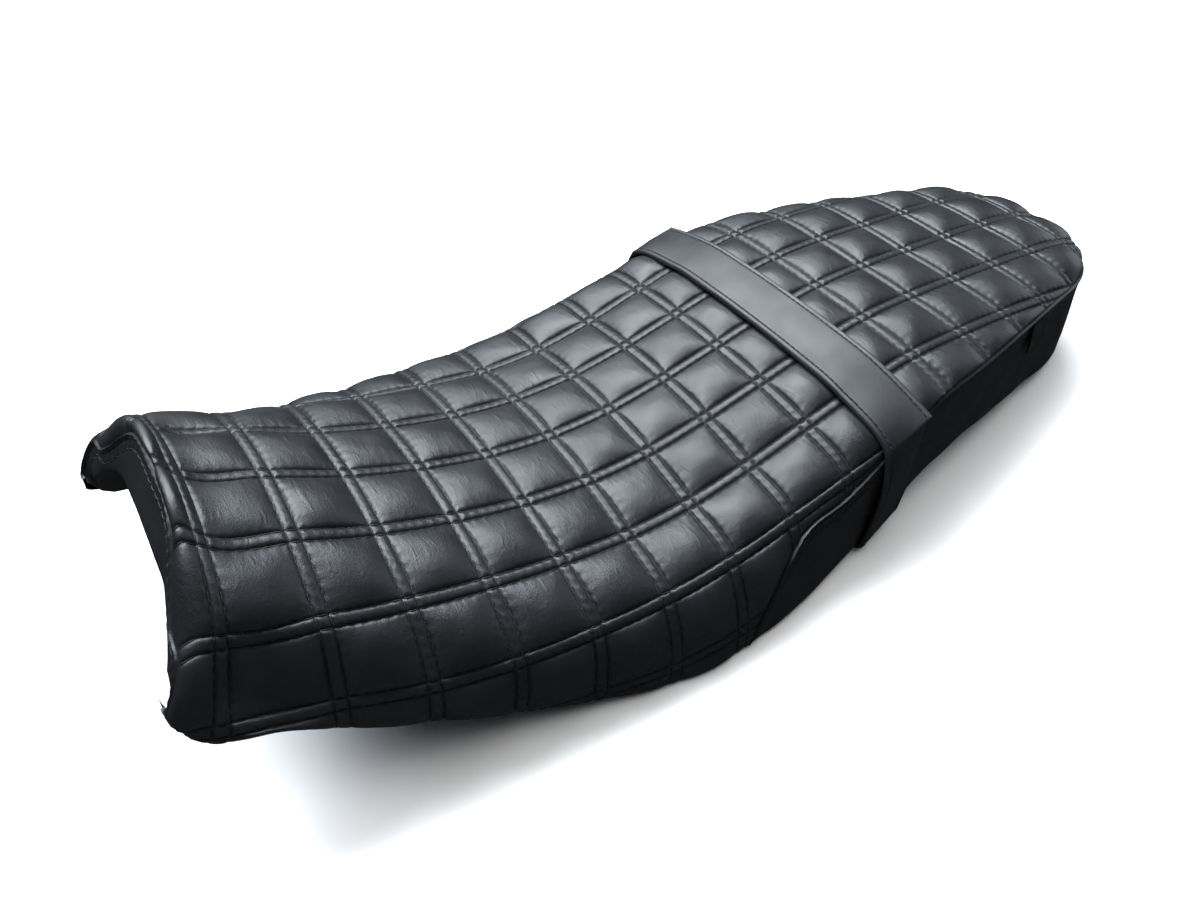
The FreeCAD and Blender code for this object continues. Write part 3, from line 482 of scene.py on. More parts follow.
class Thread:
    """Stitches gathered into one mesh: each is a short round bar that dips into the cover at its ends."""

    def __init__(self):
        self.points, self.faces, self.count = [], [], 0

    def row(self, line, normals, pitch=STITCH, radius=0.42, lift=0.3, share=0.84, marks=None):
        """marks, where given, measures the line so that a stitch lies at each multiple of the pitch."""
        run = path_length(line) if marks is None else marks
        first = math.ceil(run[0] / pitch + 0.55)
        centres = pitch * np.arange(first, math.floor(run[-1] / pitch - 0.55) + 1)
        if not len(centres):
            return
        spans = np.array([-0.5, -0.4, -0.16, 0.16, 0.4, 0.5]) * share * pitch
        rise = np.array([-1.6, 0.1, 1.0, 1.0, 0.1, -1.6]) * lift
        at = centres[:, None] + spans
        middle = np.stack([np.interp(at, run, line[:, k]) for k in range(3)], -1)
        normal = unit(np.stack([np.interp(at, run, normals[:, k]) for k in range(3)], -1))[0]
        middle = middle + normal * rise[None, :, None]
        heading = unit(np.gradient(middle, axis=1))[0]
        side = unit(np.cross(heading, normal))[0]
        up = np.cross(side, heading)
        turns = 2 * math.pi * np.arange(6) / 6
        ring = (side[:, :, None] * np.cos(turns)[:, None] + up[:, :, None] * np.sin(turns)[:, None]) * radius
        points = (middle[:, :, None] + ring).reshape(-1, 3)
        per = len(spans) * 6
        tube = np.array(grid_faces(len(spans), 6, close_columns=True))
        starts = self.count + per * np.arange(len(centres))
        self.faces += (tube[None] + starts[:, None, None]).reshape(-1, 4).tolist()
        cap = np.array([[5, 4, 3, 2, 1, 0], [per - 6, per - 5, per - 4, per - 3, per - 2, per - 1]])
        self.faces += (cap[None] + starts[:, None, None]).reshape(-1, 6).tolist()
        self.points.append(points)
        self.count += len(points)

    def piece(self, name, slot):
        return make_piece(name, np.concatenate(self.points), self.faces, THREAD, sharp=80.0)


# ------------------------------------------------------------------------------- materials
def nodes_of(name):
    material = bpy.data.materials.new(name)
    material.use_nodes = True
    return material, material.node_tree.nodes, material.node_tree.links


def add(nodes, kind, **settings):
    node = nodes.new(kind)
    for key, value in settings.items():
        if hasattr(node, key):
            setattr(node, key, value)
        else:
            node.inputs[key.replace("_", " ").title()].default_value = value
    return node


def ramp(nodes, links, source, low, high, dark, light):
    """Colour or grey that goes from dark to light as source goes from low to high."""
    node = add(nodes, "ShaderNodeValToRGB")
    node.color_ramp.elements[0].position, node.color_ramp.elements[1].position = low, high
    node.color_ramp.elements[0].color, node.color_ramp.elements[1].color = dark, light
    links.new(source, node.inputs["Fac"])
    return node.outputs["Color"]


def grey(value):
    return (value, value, value, 1.0)


def bumped(nodes, links, source, strength, depth, below=None):
    node = add(nodes, "ShaderNodeBump", Strength=strength, Distance=depth)
    links.new(source, node.inputs["Height"])
    if below is not None:
        links.new(below, node.inputs["Normal"])
    return node.outputs["Normal"]


def vinyl(name, colour, roughness, grain, crease, level=0.5):
    """Grained vinyl: fine pebbles, a few soft creases and slightly uneven gloss."""
    material, nodes, links = nodes_of(name)
    shader = nodes["Principled BSDF"]
    place = add(nodes, "ShaderNodeTexCoord").outputs["Object"]
    pebbles = add(nodes, "ShaderNodeTexVoronoi", feature="SMOOTH_F1", Scale=1150.0, Smoothness=0.6)
    fine = add(nodes, "ShaderNodeTexNoise", Scale=2600.0, Detail=3.0)
    turned = add(nodes, "ShaderNodeMapping")
    turned.inputs["Rotation"].default_value = (0.0, 0.0, math.radians(38.0))
    turned.inputs["Scale"].default_value = (1.0, 0.28, 1.0)
    lines = add(nodes, "ShaderNodeTexNoise", Scale=260.0, Detail=4.0, Distortion=0.8)
    lines.noise_type = "RIDGED_MULTIFRACTAL"
    soft = add(nodes, "ShaderNodeTexNoise", Scale=45.0, Detail=3.0)
    for node in (pebbles, fine, turned, soft):
        links.new(place, node.inputs["Vector"])
    links.new(turned.outputs["Vector"], lines.inputs["Vector"])
    normal = bumped(nodes, links, lines.outputs["Fac"], crease, 0.00025)
    normal = bumped(nodes, links, pebbles.outputs["Distance"], grain, 0.00012, normal)
    normal = bumped(nodes, links, fine.outputs["Fac"], grain * 0.5, 0.00006, normal)
    links.new(normal, shader.inputs["Normal"])
    gloss = ramp(nodes, links, soft.outputs["Fac"], 0.3, 0.7, grey(roughness - 0.05), grey(roughness + 0.06))
    links.new(gloss, shader.inputs["Roughness"])
    tint = ramp(nodes, links, soft.outputs["Fac"], 0.3, 0.75, (*colour, 1), (*(1.35 * c for c in colour), 1))
    links.new(tint, shader.inputs["Base Color"])
    shader.inputs["Specular IOR Level"].default_value = level
    return material


def woven(name, colour, scale):
    """Tight plain weave: two crossed sets of threads."""
    material, nodes, links = nodes_of(name)
    shader = nodes["Principled BSDF"]
    place = add(nodes, "ShaderNodeTexCoord").outputs["Object"]
    warp = add(nodes, "ShaderNodeTexWave", Scale=scale, Distortion=0.6)
    weft = add(nodes, "ShaderNodeTexWave", Scale=scale, Distortion=0.6)
    warp.bands_direction, weft.bands_direction = "X", "Z"
    both = add(nodes, "ShaderNodeMath", operation="MAXIMUM")
    for number, node in enumerate((warp, weft)):
        links.new(place, node.inputs["Vector"])
        links.new(node.outputs["Fac"], both.inputs[number])
    normal = bumped(nodes, links, both.outputs["Value"], 0.7, 0.0003)
    links.new(normal, shader.inputs["Normal"])
    tint = ramp(nodes, links, both.outputs["Value"], 0.1, 0.9, (*(0.4 * c for c in colour), 1), (*colour, 1))
    links.new(tint, shader.inputs["Base Color"])
    shader.inputs["Roughness"].default_value = 0.8
    shader.inputs["Specular IOR Level"].default_value = 0.25
    return material


def twisted_thread(name):
    material, nodes, links = nodes_of(name)
    shader = nodes["Principled BSDF"]
    place = add(nodes, "ShaderNodeTexCoord").outputs["Object"]
    strands = add(nodes, "ShaderNodeTexWave", Scale=900.0, Distortion=1.0)
    strands.bands_direction = "DIAGONAL"
    links.new(place, strands.inputs["Vector"])
    links.new(bumped(nodes, links, strands.outputs["Fac"], 0.5, 0.0001), shader.inputs["Normal"])
    tint = ramp(nodes, links, strands.outputs["Fac"], 0.2, 0.9, grey(0.002), grey(0.008))
    links.new(tint, shader.inputs["Base Color"])
    shader.inputs["Roughness"].default_value = 0.6
    return material


def moulded_plastic(name, colour, roughness):
    """Spark-textured moulding with slight scuffs."""
    material, nodes, links = nodes_of(name)
    shader = nodes["Principled BSDF"]
    place = add(nodes, "ShaderNodeTexCoord").outputs["Object"]
    pits = add(nodes, "ShaderNodeTexNoise", Scale=1600.0, Detail=4.0)
    flow = add(nodes, "ShaderNodeTexNoise", Scale=22.0, Detail=5.0)
    for node in (pits, flow):
        links.new(place, node.inputs["Vector"])
    links.new(bumped(nodes, links, pits.outputs["Fac"], 0.35, 0.0001), shader.inputs["Normal"])
    tint = ramp(nodes, links, flow.outputs["Fac"], 0.3, 0.75, (*colour, 1), (*(1.5 * c for c in colour), 1))
    links.new(tint, shader.inputs["Base Color"])
    gloss = ramp(nodes, links, flow.outputs["Fac"], 0.3, 0.7, grey(roughness - 0.07), grey(roughness + 0.08))
    links.new(gloss, shader.inputs["Roughness"])
    return material


def steel(name, colour, roughness, metallic, speckle):
    """Coated or plated sheet and wire: a fine skin, a duller bloom in patches, and a lighter colour on sharp
    convex edges.
    """
    material, nodes, links = nodes_of(name)
    shader = nodes["Principled BSDF"]
    place = add(nodes, "ShaderNodeTexCoord").outputs["Object"]
    skin = add(nodes, "ShaderNodeTexNoise", Scale=speckle, Detail=3.0)
    bloom = add(nodes, "ShaderNodeTexNoise", Scale=90.0, Detail=5.0)
    for node in (skin, bloom):
        links.new(place, node.inputs["Vector"])
    links.new(bumped(nodes, links, skin.outputs["Fac"], 0.25, 0.00008), shader.inputs["Normal"])
    gloss = ramp(nodes, links, bloom.outputs["Fac"], 0.3, 0.7, grey(roughness - 0.08), grey(roughness + 0.1))
    links.new(gloss, shader.inputs["Roughness"])
    tint = ramp(nodes, links, bloom.outputs["Fac"], 0.25, 0.8, (*colour, 1), (*(0.75 * c for c in colour), 1))
    # Base colour made lighter where the surface is sharp and convex (by pointiness), up to white on the
    # plated steel.
    edge_sharpness = add(nodes, "ShaderNodeNewGeometry").outputs["Pointiness"]
    edge = ramp(nodes, links, edge_sharpness, 0.52, 0.6, grey(0.0), grey(0.5))
    mix = add(nodes, "ShaderNodeMix", data_type="RGBA")
    links.new(edge, mix.inputs["Factor"])
    links.new(tint, mix.inputs["A"])
    mix.inputs[7].default_value = (*(min(1.0, 1.6 * c + 0.02) for c in colour), 1)
    links.new(mix.outputs[2], shader.inputs["Base Color"])
    shader.inputs["Metallic"].default_value = metallic
    return material


QUILTED = vinyl("quilted_vinyl", (0.0052, 0.0057, 0.0068), 0.46, 0.7, 0.8)
PLAIN = vinyl("plain_vinyl", (0.0045, 0.0048, 0.0056), 0.47, 0.5, 0.25)
STRAP = vinyl("strap_vinyl", (0.0055, 0.006, 0.007), 0.46, 0.4, 0.15)
THREAD = twisted_thread("black_thread")
WEAVE = woven("tag_weave", (0.006, 0.006, 0.0065), 700.0)
PLASTIC = moulded_plastic("pan_plastic", (0.012, 0.012, 0.0125), 0.5)
RUBBER = moulded_plastic("bumper_rubber", (0.009, 0.009, 0.009), 0.75)
COATED = steel("black_steel", (0.014, 0.014, 0.015), 0.42, 0.0, 1400.0)
PLATED = steel("bright_steel", (0.62, 0.62, 0.6), 0.32, 1.0, 500.0)


# ------------------------------------------------------------------------------- quilted top
cover = Cover()
quilt = Quilt(cover)
points, faces = quilt.mesh()
top_cover = make_piece(
    "quilted_top", points, faces, QUILTED, ("cover_quilted_top", "foam_core"), sharp=80.0
)


def quilting_thread():
    """The needle rows: two beside every grid line, stopping at the seam or at the lower edge."""
    thread = Thread()
    for number in range(LATERAL_LINES):
        for side in (-ROW, ROW):
            back = PITCH * number + side
            u = quilt.u(np.array([back]), np.array([0.0]))
            hem = cover.along(cover.hem_girth, u)[0] + 2.0
            limit = min(np.interp(back, quilt.grid_back, quilt.grid_limit) - 1.0, hem)
            out = np.arange(-limit, limit, 0.8)
            line, normals = quilt.point(np.full_like(out, back), out)
            thread.row(line, normals, marks=out)
    for number in range(-LENGTHWISE_LINES, LENGTHWISE_LINES + 1):
        for side in (-ROW, ROW):
            out = PITCH * number + side
            back = np.arange(quilt.start + 1.0, quilt.end - 1.0, 0.8)
            inside = np.interp(back, quilt.grid_back, quilt.grid_limit) > abs(out) + 1.5
            steps = np.flatnonzero(np.diff(np.concatenate([[0], inside.astype(int), [0]])))
            for start, stop in zip(steps[::2], steps[1::2]):
                if stop - start > 10:
                    run = back[start:stop]
                    line, normals = quilt.point(run, np.full_like(run, out))
                    thread.row(line, normals, marks=run)
    return thread.piece("quilting_thread", "quilted_vinyl")


quilting_thread()


# ------------------------------------------------------------------------------- side band
class Perimeter:
    """The lower edge of the seat in plan, from the left side round the tail to the right side, with the
    side of the cover under it: columns of points from the shoulder down, round the edge and under."""

    def __init__(self, start, step):
        straight = np.arange(start, TAIL_START, step)
        count = int(115.0 / step)
        theta = np.linspace(0.0, math.pi / 2, count)[1:]
        rounding = TAIL_START + TAIL_REACH * np.minimum(np.sin(theta) ** 0.8, 0.99999)
        half = np.concatenate([straight, [TAIL_START], rounding])
        self.x = np.concatenate([half, half[-2::-1]])
        self.side = np.concatenate([-np.ones(len(half)), np.ones(len(half) - 1)])
        lines = outline(self.x)
        self.lines = lines[:, len(lines[0]) // 2 + 14:]
        self.lines[len(half) - 1, :, 0] = 0.0
        hem = place_points(self.x, self.lines[:, -1, 0] * self.side, self.lines[:, -1, 1])
        smooth = hem.copy()
        smooth[1:-1] = (hem[:-2] + 2 * hem[1:-1] + hem[2:]) / 4
        forward = unit(np.gradient(smooth[:, :2], axis=0))[0]
        self.inward = np.stack([forward[:, 1] * -1, forward[:, 0], 0 * self.x], -1)
        self.inward[len(half) - 1] = (-1.0, 0.0, 0.0)
        self.hem = hem

    def columns(self, under):
        """Points down each side with their girth measured from the seam."""
        result = []
        turn = np.linspace(0.0, math.pi / 2, 8)[1:]
        for k, (x, side, line) in enumerate(zip(self.x, self.side, self.lines)):
            points = place_points(np.full(len(line), x), line[:, 0] * side, line[:, 1])
            hem, inward = self.hem[k], self.inward[k]
            low = hem[2] + HEM_ROUND
            down = points[points[:, 2] > low + 0.2]
            edge = hem + (0.0, 0.0, HEM_ROUND)
            arc = edge + HEM_ROUND * (inward * (1 - np.cos(turn))[:, None])
            arc[:, 2] -= HEM_ROUND * np.sin(turn)
            flat = arc[-1] + inward * under
            whole = np.concatenate([down, edge[None], arc, flat[None]])
            run = path_length(whole)
            seam = seam_height(np.array([x]))[0]
            if seam > low:
                start = np.interp(-seam, -down[:, 2], run[: len(down)])
            else:
                start = min(run[len(down)] + (low - seam) * 1.6, run[-1] - 0.5)
            result.append((whole, run, start))
        return result


def band_profile(girth, along, length):
    """Relief of the side band below its seam: a folded lip, then two rows of topstitching."""
    lip = 1.15 * np.exp(-((girth - 1.3) / 0.85) ** 2) * (1 + 0.12 * np.sin(2 * math.pi * along / STITCH))
    rows = -0.55 * np.exp(-((girth - 3.0) / 0.6) ** 2) - 0.5 * np.exp(-((girth - 7.4) / 0.6) ** 2)
    between = 0.30 + 0.17 * np.cos(2 * math.pi * along / STITCH + 0.6 * girth)
    between = between * np.exp(-((girth - 5.2) / 1.4) ** 2)
    pucker = 0.13 * np.cos(2 * math.pi * along / STITCH + 0.3 * girth)
    pucker = pucker * np.exp(-np.clip(girth - 7.4, 0, None) / 3)
    pucker = pucker * (girth > 7.4)
    soft = 0.35 * waves(along, girth, 35, 110, 10, 31) * ease((girth - 8) / 15)
    tuck = -0.9 * np.exp(-(girth / 0.7) ** 2)
    fade = ease((length - girth) / 14.0)
    return (lip + rows + between + pucker + tuck) * ease(length / 12.0) + soft * fade


def at_girth(place, girths, columns):
    """The point (or normal) of each column where its girth reaches place."""
    return np.array([[np.interp(place, g, c[:, k]) for k in range(3)] for g, c in zip(girths, columns)])


def side_band():
    rim = Perimeter(289.0, 1.45)
    columns = rim.columns(HEM_FLAT)
    lip = [0.0, 0.5, 0.9, 1.3, 1.7, 2.1, 2.5]
    needle_rows = [3.0, 3.5, 4.1, 4.7, 5.3, 5.9, 6.5, 7.0, 7.4, 7.9]
    fine = np.array(lip + needle_rows + [8.6, 9.6, 11.0, 13.0])
    rest = np.linspace(0.0, 1.0, 22)[1:]
    along = path_length(rim.hem)
    grid, lengths = [], []
    for whole, run, start in columns:
        length = run[-1] - start
        scale = min(1.0, length / 26.0)
        girth = np.concatenate([fine * scale, (fine[-1] * scale) + (length - fine[-1] * scale) * rest])
        grid.append(np.stack([np.interp(start + girth, run, whole[:, k]) for k in range(3)] + [girth], -1))
        lengths.append(length)
    grid, lengths = np.array(grid), np.array(lengths)
    points, girth = grid[..., :3], grid[..., 3]
    across, down = np.gradient(points, axis=0), np.gradient(points, axis=1)
    normals = unit(np.cross(down, across))[0]
    relief = band_profile(girth, along[:, None], lengths[:, None])
    points = points + normals * relief[..., None]
    faces = np.array(grid_faces(*girth.shape))[:, ::-1]
    make_piece("side_band", points.reshape(-1, 3), faces.tolist(), PLAIN,
               ("cover_side_band",), sharp=80.0)
    thread = Thread()
    for row in (3.0, 7.4):
        use = lengths > 30.0
        line = at_girth(row, girth[use], points[use])
        face = at_girth(row, girth[use], normals[use])
        thread.row(line, unit(face)[0], radius=0.4, lift=0.34)
    thread.piece("band_thread", "plain_vinyl")


side_band()


# ------------------------------------------------------------------------------- under the seat
def tunnel_line(x):
    """Half width of the pan's inner wall at x."""
    t = np.clip((x - TAIL_START) / TUNNEL_REACH, 0.0, 1.0)
    return (rail("hem_y", x) - LEG_WALL) * (1 - t**2.5) ** 0.4


def inner_rim():
    """The lining's edge in plan from the left front round the tail end to the right."""
    side = np.linspace(4.0, TUNNEL_END + LINING - 0.01, 700)
    width = tunnel_line(side) - LINING
    corner = np.linspace(1.0, 0.0, 60)[1:]
    left = np.stack([side, -width], -1)
    end = np.stack([np.full(59, side[-1]), -width[-1] * corner], -1)
    half = np.concatenate([left, end])
    line = np.concatenate([half, (half * (1, -1))[-2::-1]])
    return line


def hem_strip():
    """The edge of the cover, pulled round the pan's lower edge and up inside it, with small gathers."""
    rim = Perimeter(9.0, 4.0)
    outer = rim.hem + rim.inward * (HEM_ROUND + HEM_FLAT - 1.5)
    line = inner_rim()
    run = path_length(np.column_stack([line, 0 * line[:, 0]]))
    tail_from = 600.0
    place = path_length(outer)
    first = np.flatnonzero(outer[:, 0] > tail_from)
    a, b = place[first[0]], place[first[-1]]
    inner_first = np.flatnonzero(line[:, 0] > tail_from)
    c, d = run[inner_first[0]], run[inner_first[-1]]
    inner = []
    for p, s in zip(outer, place):
        if a < s < b:
            at = c + (d - c) * (s - a) / (b - a)
        else:
            half = run[: len(run) // 2]
            at = np.interp(max(p[0], 4.0), line[: len(half), 0], half)
            at = at if s <= a else run[-1] - at
        inner.append([np.interp(at, run, line[:, k]) for k in (0, 1)])
    inner = np.array(inner)
    gap = inner - outer[:, :2]
    heading, length = unit(gap)
    low = outer[:, 2]
    turn = np.linspace(0.0, math.pi / 2, 6)
    wall = 2.4
    section = [(0.0, -0.05), (0.35, 0.12), (0.7, 0.12)]
    rows = []
    along = place
    for share, lift in section:
        rows.append((share * (length[:, 0] - 3.0), np.full(len(low), 0.35 + lift)))
    for angle in turn:
        height = 0.45 + 3.0 * (1 - math.cos(angle))
        rows.append((length[:, 0] - 3.0 + 3.0 * math.sin(angle), np.full(len(low), height)))
    for height in (5.0, 7.0, 9.0, 10.5):
        rows.append((length[:, 0], np.full(len(low), height)))
    rows.append((length[:, 0] - 0.8, np.full(len(low), 11.2)))
    rows.append((length[:, 0] - wall, np.full(len(low), 10.6)))
    rows.append((length[:, 0] - wall, np.full(len(low), 6.0)))
    gather = 0.35 * np.sin(2 * math.pi * along / 13.0 + 1.5 * waves(along, 0 * along, 40, 120, 5, 41))
    grid = []
    for number, (reach, height) in enumerate(rows):
        bump = gather * math.sin(math.pi * min(number, 8) / 8) if number < 9 else 0 * gather
        xy = outer[:, :2] + heading * reach[:, None]
        grid.append(np.column_stack([xy, low + height - np.abs(bump) * 0.6]))
    grid = np.stack(grid, 1)
    faces = np.array(grid_faces(*grid.shape[:2]))
    make_piece("hem_strip", grid.reshape(-1, 3), faces.tolist(), PLAIN,
               ("cover_hem_strip",), sharp=80.0)


hem_strip()


# ------------------------------------------------------------------------------- front panel and welt
def tunnel_section(x, share):
    """Points of the lining's section at x, by share of the way from the left hem over to the right."""
    wide, high = tunnel_line(x) - LINING, rail("tunnel_z", x) - LINING
    radius = rail("tunnel_r", x) - LINING
    low = hem_height(x) + 1.0
    turn = np.linspace(0.0, math.pi / 2, 25)
    wall = np.linspace(-60.0, high - radius, 30)[:-1]
    y = np.concatenate([0 * wall + wide, (wide - radius) + radius * np.cos(turn)])
    z = np.concatenate([wall, (high - radius) + radius * np.sin(turn)])
    above = z > low + 0.2
    half = np.column_stack([y[above], z[above]])
    half = np.concatenate([[(np.interp(low, z, y), low)], half, [(0.0, high)]])
    line = np.concatenate([half * (-1, 1), half[-2::-1]])
    run = path_length(line)
    return np.stack([np.interp(share * run[-1], run, line[:, k]) for k in (0, 1)], -1)


def nose_slant(z, crown, hem):
    return (NOSE_REACH + NOSE_LEAN) * (z - hem) / (crown - hem) - NOSE_REACH


PANEL_COLUMNS = 260


def front_panel():
    """Plain vinyl from the welt at the nose back into the arch over the tank."""
    share = np.linspace(0.0, 1.0, PANEL_COLUMNS)
    section = wrapped(outline(np.array([0.0]))[0], -100.0)[0]
    section = section[:-1]
    section[-1] = section[-2] - (2.0, 0.0)
    line = np.concatenate([(section * (-1, 1))[::-1], section[1:]])
    run = path_length(line)
    edge = np.stack([np.interp(share * run[-1], run, line[:, k]) for k in (0, 1)], -1)
    edge = place_points(np.zeros(PANEL_COLUMNS), edge[:, 0], edge[:, 1])
    zero = np.array([0.0])
    hem, crown = hem_height(zero)[0], rail("crown", zero)[0] - nose_roll(zero)[0]
    depths = (4.0, 9.0, 18.0, 32.0, 50.0, PANEL_DEPTH)
    rings = []
    for depth in depths:
        yz = tunnel_section(np.array(depth), share)
        back = nose_slant(yz[:, 1], crown, hem) * (1 - (depth - depths[0]) / LEAN_LENGTH)
        rings.append(np.column_stack([depth + np.maximum(back, -3.0), yz]))
    target = rings[0]
    inner_dir, gap = unit(target - edge)
    arrive = unit(rings[1] - rings[0])[0]
    t = np.concatenate([np.linspace(0, 0.5, 22)[:-1], np.linspace(0.5, 1.0, 12)])[:, None, None]
    face = hermite(edge[None], target[None], inner_dir[None] * gap, arrive[None] * np.minimum(gap, 9.0), t)
    later = np.stack(rings[1:])
    grid = np.concatenate([face, later])
    girth = np.linalg.norm(np.diff(grid, axis=0), axis=2)
    girth = np.concatenate([np.zeros((1, PANEL_COLUMNS)), np.cumsum(girth, axis=0)])
    normals = unit(np.cross(np.gradient(grid, axis=0), np.gradient(grid, axis=1)))[0]
    middle = normals[6, PANEL_COLUMNS // 2]
    if middle[0] > 0:
        normals = -normals
    along = path_length(edge)[None]
    lip = 1.3 * np.exp(-((girth - 1.5) / 0.9) ** 2) * (1 + 0.12 * np.sin(2 * math.pi * along / STITCH))
    row = -0.5 * np.exp(-((girth - 3.4) / 0.6) ** 2) - 0.45 * np.exp(-((girth - 9.0) / 0.6) ** 2)
    pucker = 0.13 * np.cos(2 * math.pi * along / STITCH) * np.exp(-np.abs(girth - 6.2) / 3)
    soft = 0.25 * waves(along, girth, 30, 80, 8, 51) * ease((girth - 10) / 12)
    tuck = -0.6 * np.exp(-(girth / 0.8) ** 2)
    grid = grid + normals * (lip + row + pucker + soft + tuck)[..., None]
    faces = np.array(grid_faces(*grid.shape[:2]))
    make_piece("front_panel", grid.reshape(-1, 3), faces.tolist(), PLAIN,
               ("cover_front_panel",), sharp=80.0)
    thread = Thread()
    for place in (3.4, 9.0):
        rail_line, rail_normal = [], []
        for k in range(PANEL_COLUMNS):
            rail_line.append([np.interp(place, girth[:, k], grid[:, k, c]) for c in range(3)])
            rail_normal.append([np.interp(place, girth[:, k], normals[:, k, c]) for c in range(3)])
        thread.row(np.array(rail_line), unit(np.array(rail_normal))[0], radius=0.38, lift=0.32)
    thread.piece("panel_thread", "plain_vinyl")


front_panel()


# ------------------------------------------------------------------------------- passenger strap
def strap_path(x, lift):
    """Half the strap's way at x, lift above the cover: over the top, down, under and up inside."""
    section = outline(x, -lift)
    wide = tunnel_line(x) - LINING
    hem_y, hem_z = rail("hem_y", x), rail("hem_z", x)
    ring = []
    turn = np.linspace(0.0, math.pi / 2, 9)
    for k in range(len(x)):
        low = hem_z[k] + HEM_ROUND
        tighter = 1.6 * ease((low + 45.0 - section[k][:, 1]) / 45.0)
        line = section[k] - np.stack([tighter, 0 * tighter], -1)
        down = line[line[:, 1] > low + 0.6]
        centre = np.array([hem_y[k] - HEM_ROUND, low])
        close = lift[k] - 1.6
        radius = HEM_ROUND + close
        arc = centre + np.stack([radius * np.cos(turn), -radius * np.sin(turn)], -1)
        inner = wide[k] - 0.5 - close
        bend = 4.0 + close
        corner = np.array([wide[k] - 0.5 + 4.0, hem_z[k] + 4.0])
        arc2 = corner + np.stack([-bend * np.sin(turn), -bend * np.cos(turn)], -1)
        up = np.array([[inner, hem_z[k] + 8.0], [inner, hem_z[k] + 13.0], [inner, hem_z[k] + 18.0]])
        whole = np.concatenate([down, arc, arc2, up])
        run = path_length(whole)
        ring.append((whole, run))
    return ring


def grab_strap():
    """A folded vinyl strap with rolled edges, from inside the pan over the seat and back."""
    half, thick = STRAP_WIDTH / 2, STRAP_THICK / 2
    inset = half - 3.8
    turn = np.linspace(-math.pi / 2, math.pi / 2, 9)
    edge_wide, edge_thin = half - thick + thick * np.cos(turn), thick * np.sin(turn)
    near = inset + np.array([1.2, 0.7, 0.35, 0.0, -0.35, -0.7, -1.2, -2.2])
    top = np.concatenate([near, np.linspace(inset - 4.0, 4.0 - inset, 10), -near[::-1]])
    under = np.linspace(thick - half, half - thick, 9)[1:-1]
    wide = np.concatenate([edge_wide, top, -edge_wide[::-1], under])
    thin = np.concatenate([edge_thin, 0 * top + thick, edge_thin[::-1], 0 * under - thick])
    count = len(wide)
    upper = np.clip(thin / thick, 0.0, 1.0)
    dent = 0.45 * np.exp(-((np.abs(wide) - inset) / 0.55) ** 2)
    roll = 0.35 * np.exp(-((np.abs(wide) - half + 1.6) / 1.3) ** 2)
    crown = 0.45 * (1 - (wide / half) ** 2)
    lift = 2.5 + thick + thin + upper * (crown + roll - dent)
    rings = strap_path(STRAP_PLACE + wide, lift)
    steps = 230
    share = np.linspace(0.0, 1.0, steps)
    half_grid = np.array([
        [np.interp(share * run[-1], run, line[:, k]) for k in (0, 1)]
        for line, run in rings])
    grid = np.stack([np.broadcast_to((STRAP_PLACE + wide)[:, None], half_grid[:, 0].shape),
                     half_grid[:, 0], half_grid[:, 1]], -1)
    grid = np.moveaxis(grid, 0, 1)
    left = (grid * (1, -1, 1))[::-1]
    whole = np.concatenate([left, grid[1:]])
    faces = grid_faces(len(whole), count, close_columns=True)
    last = (len(whole) - 1) * count
    faces.append(list(range(count)))
    faces.append([last + k for k in range(count)][::-1])
    make_piece("passenger_strap", whole.reshape(-1, 3), faces, STRAP,
               ("grab_strap",), sharp=50.0)
    thread = Thread()
    for side in (-1, 1):
        line = whole[:, int(np.argmin(np.hypot(wide - side * inset, thin - thick)))]
        ahead = unit(np.gradient(line, axis=0))[0]
        normal = unit(np.cross(ahead, np.array([1.0, 0.0, 0.0])))[0]
        if normal[len(line) // 2, 2] < 0:
            normal = -normal
        thread.row(line, normal, pitch=4.6, radius=0.36, lift=0.3)
    thread.piece("strap_thread", "strap_vinyl")


grab_strap()


# ------------------------------------------------------------------------------- tag
def woven_tag():
    """A blank ribbon folded over and sewn into the left seam; it stands off a little at its fold."""
    across = np.linspace(-TAG_WIDTH / 2, TAG_WIDTH / 2, 22)
    fold = np.linspace(0.0, 1.0, 18)
    x = TAG_PLACE + across
    top = seam_height(x) - 1.0
    profile = []
    for t in fold:
        profile.append((t * TAG_HEIGHT, 1.9 + 1.3 * math.sin(math.pi * 0.5 * t)))
    bend = np.linspace(0.0, math.pi, 7)[1:]
    for angle in bend:
        profile.append((TAG_HEIGHT + 0.7 * math.sin(angle), 2.5 + 0.7 * math.cos(angle)))
    for t in fold[::-1][1:]:
        profile.append((t * TAG_HEIGHT, 0.8 + 1.0 * math.sin(math.pi * 0.5 * t)))
    lines = outline(x)
    grid = []
    for down, off in profile:
        z = top - down
        y = np.array([np.interp(-height, -line[80:, 1], line[80:, 0]) for height, line in zip(z, lines)])
        curl = off + 0.5 * ease(np.abs(across) / 12.0) * (down / TAG_HEIGHT) * (off > 1.2)
        grid.append(place_points(x, -(y + curl), z))
    grid = np.array(grid)
    front = grid_faces(*grid.shape[:2])
    make_piece("woven_tag_loop", grid.reshape(-1, 3), front, WEAVE, ("woven_tag",), sharp=60.0)


woven_tag()

# ------------------------------------------------------------------------------- pan and hardware
FINISHES = {"pan_plastic": PLASTIC, "bumper_rubber": RUBBER, "black_steel": COATED, "bright_steel": PLATED}
for subpart in frame["record"]["subparts"]:
    finish = FINISHES.get(subpart["material_slot"])
    node = frame["nodes"][subpart["node"]]
    if finish:
        node.data.materials.clear()
        node.data.materials.append(finish)

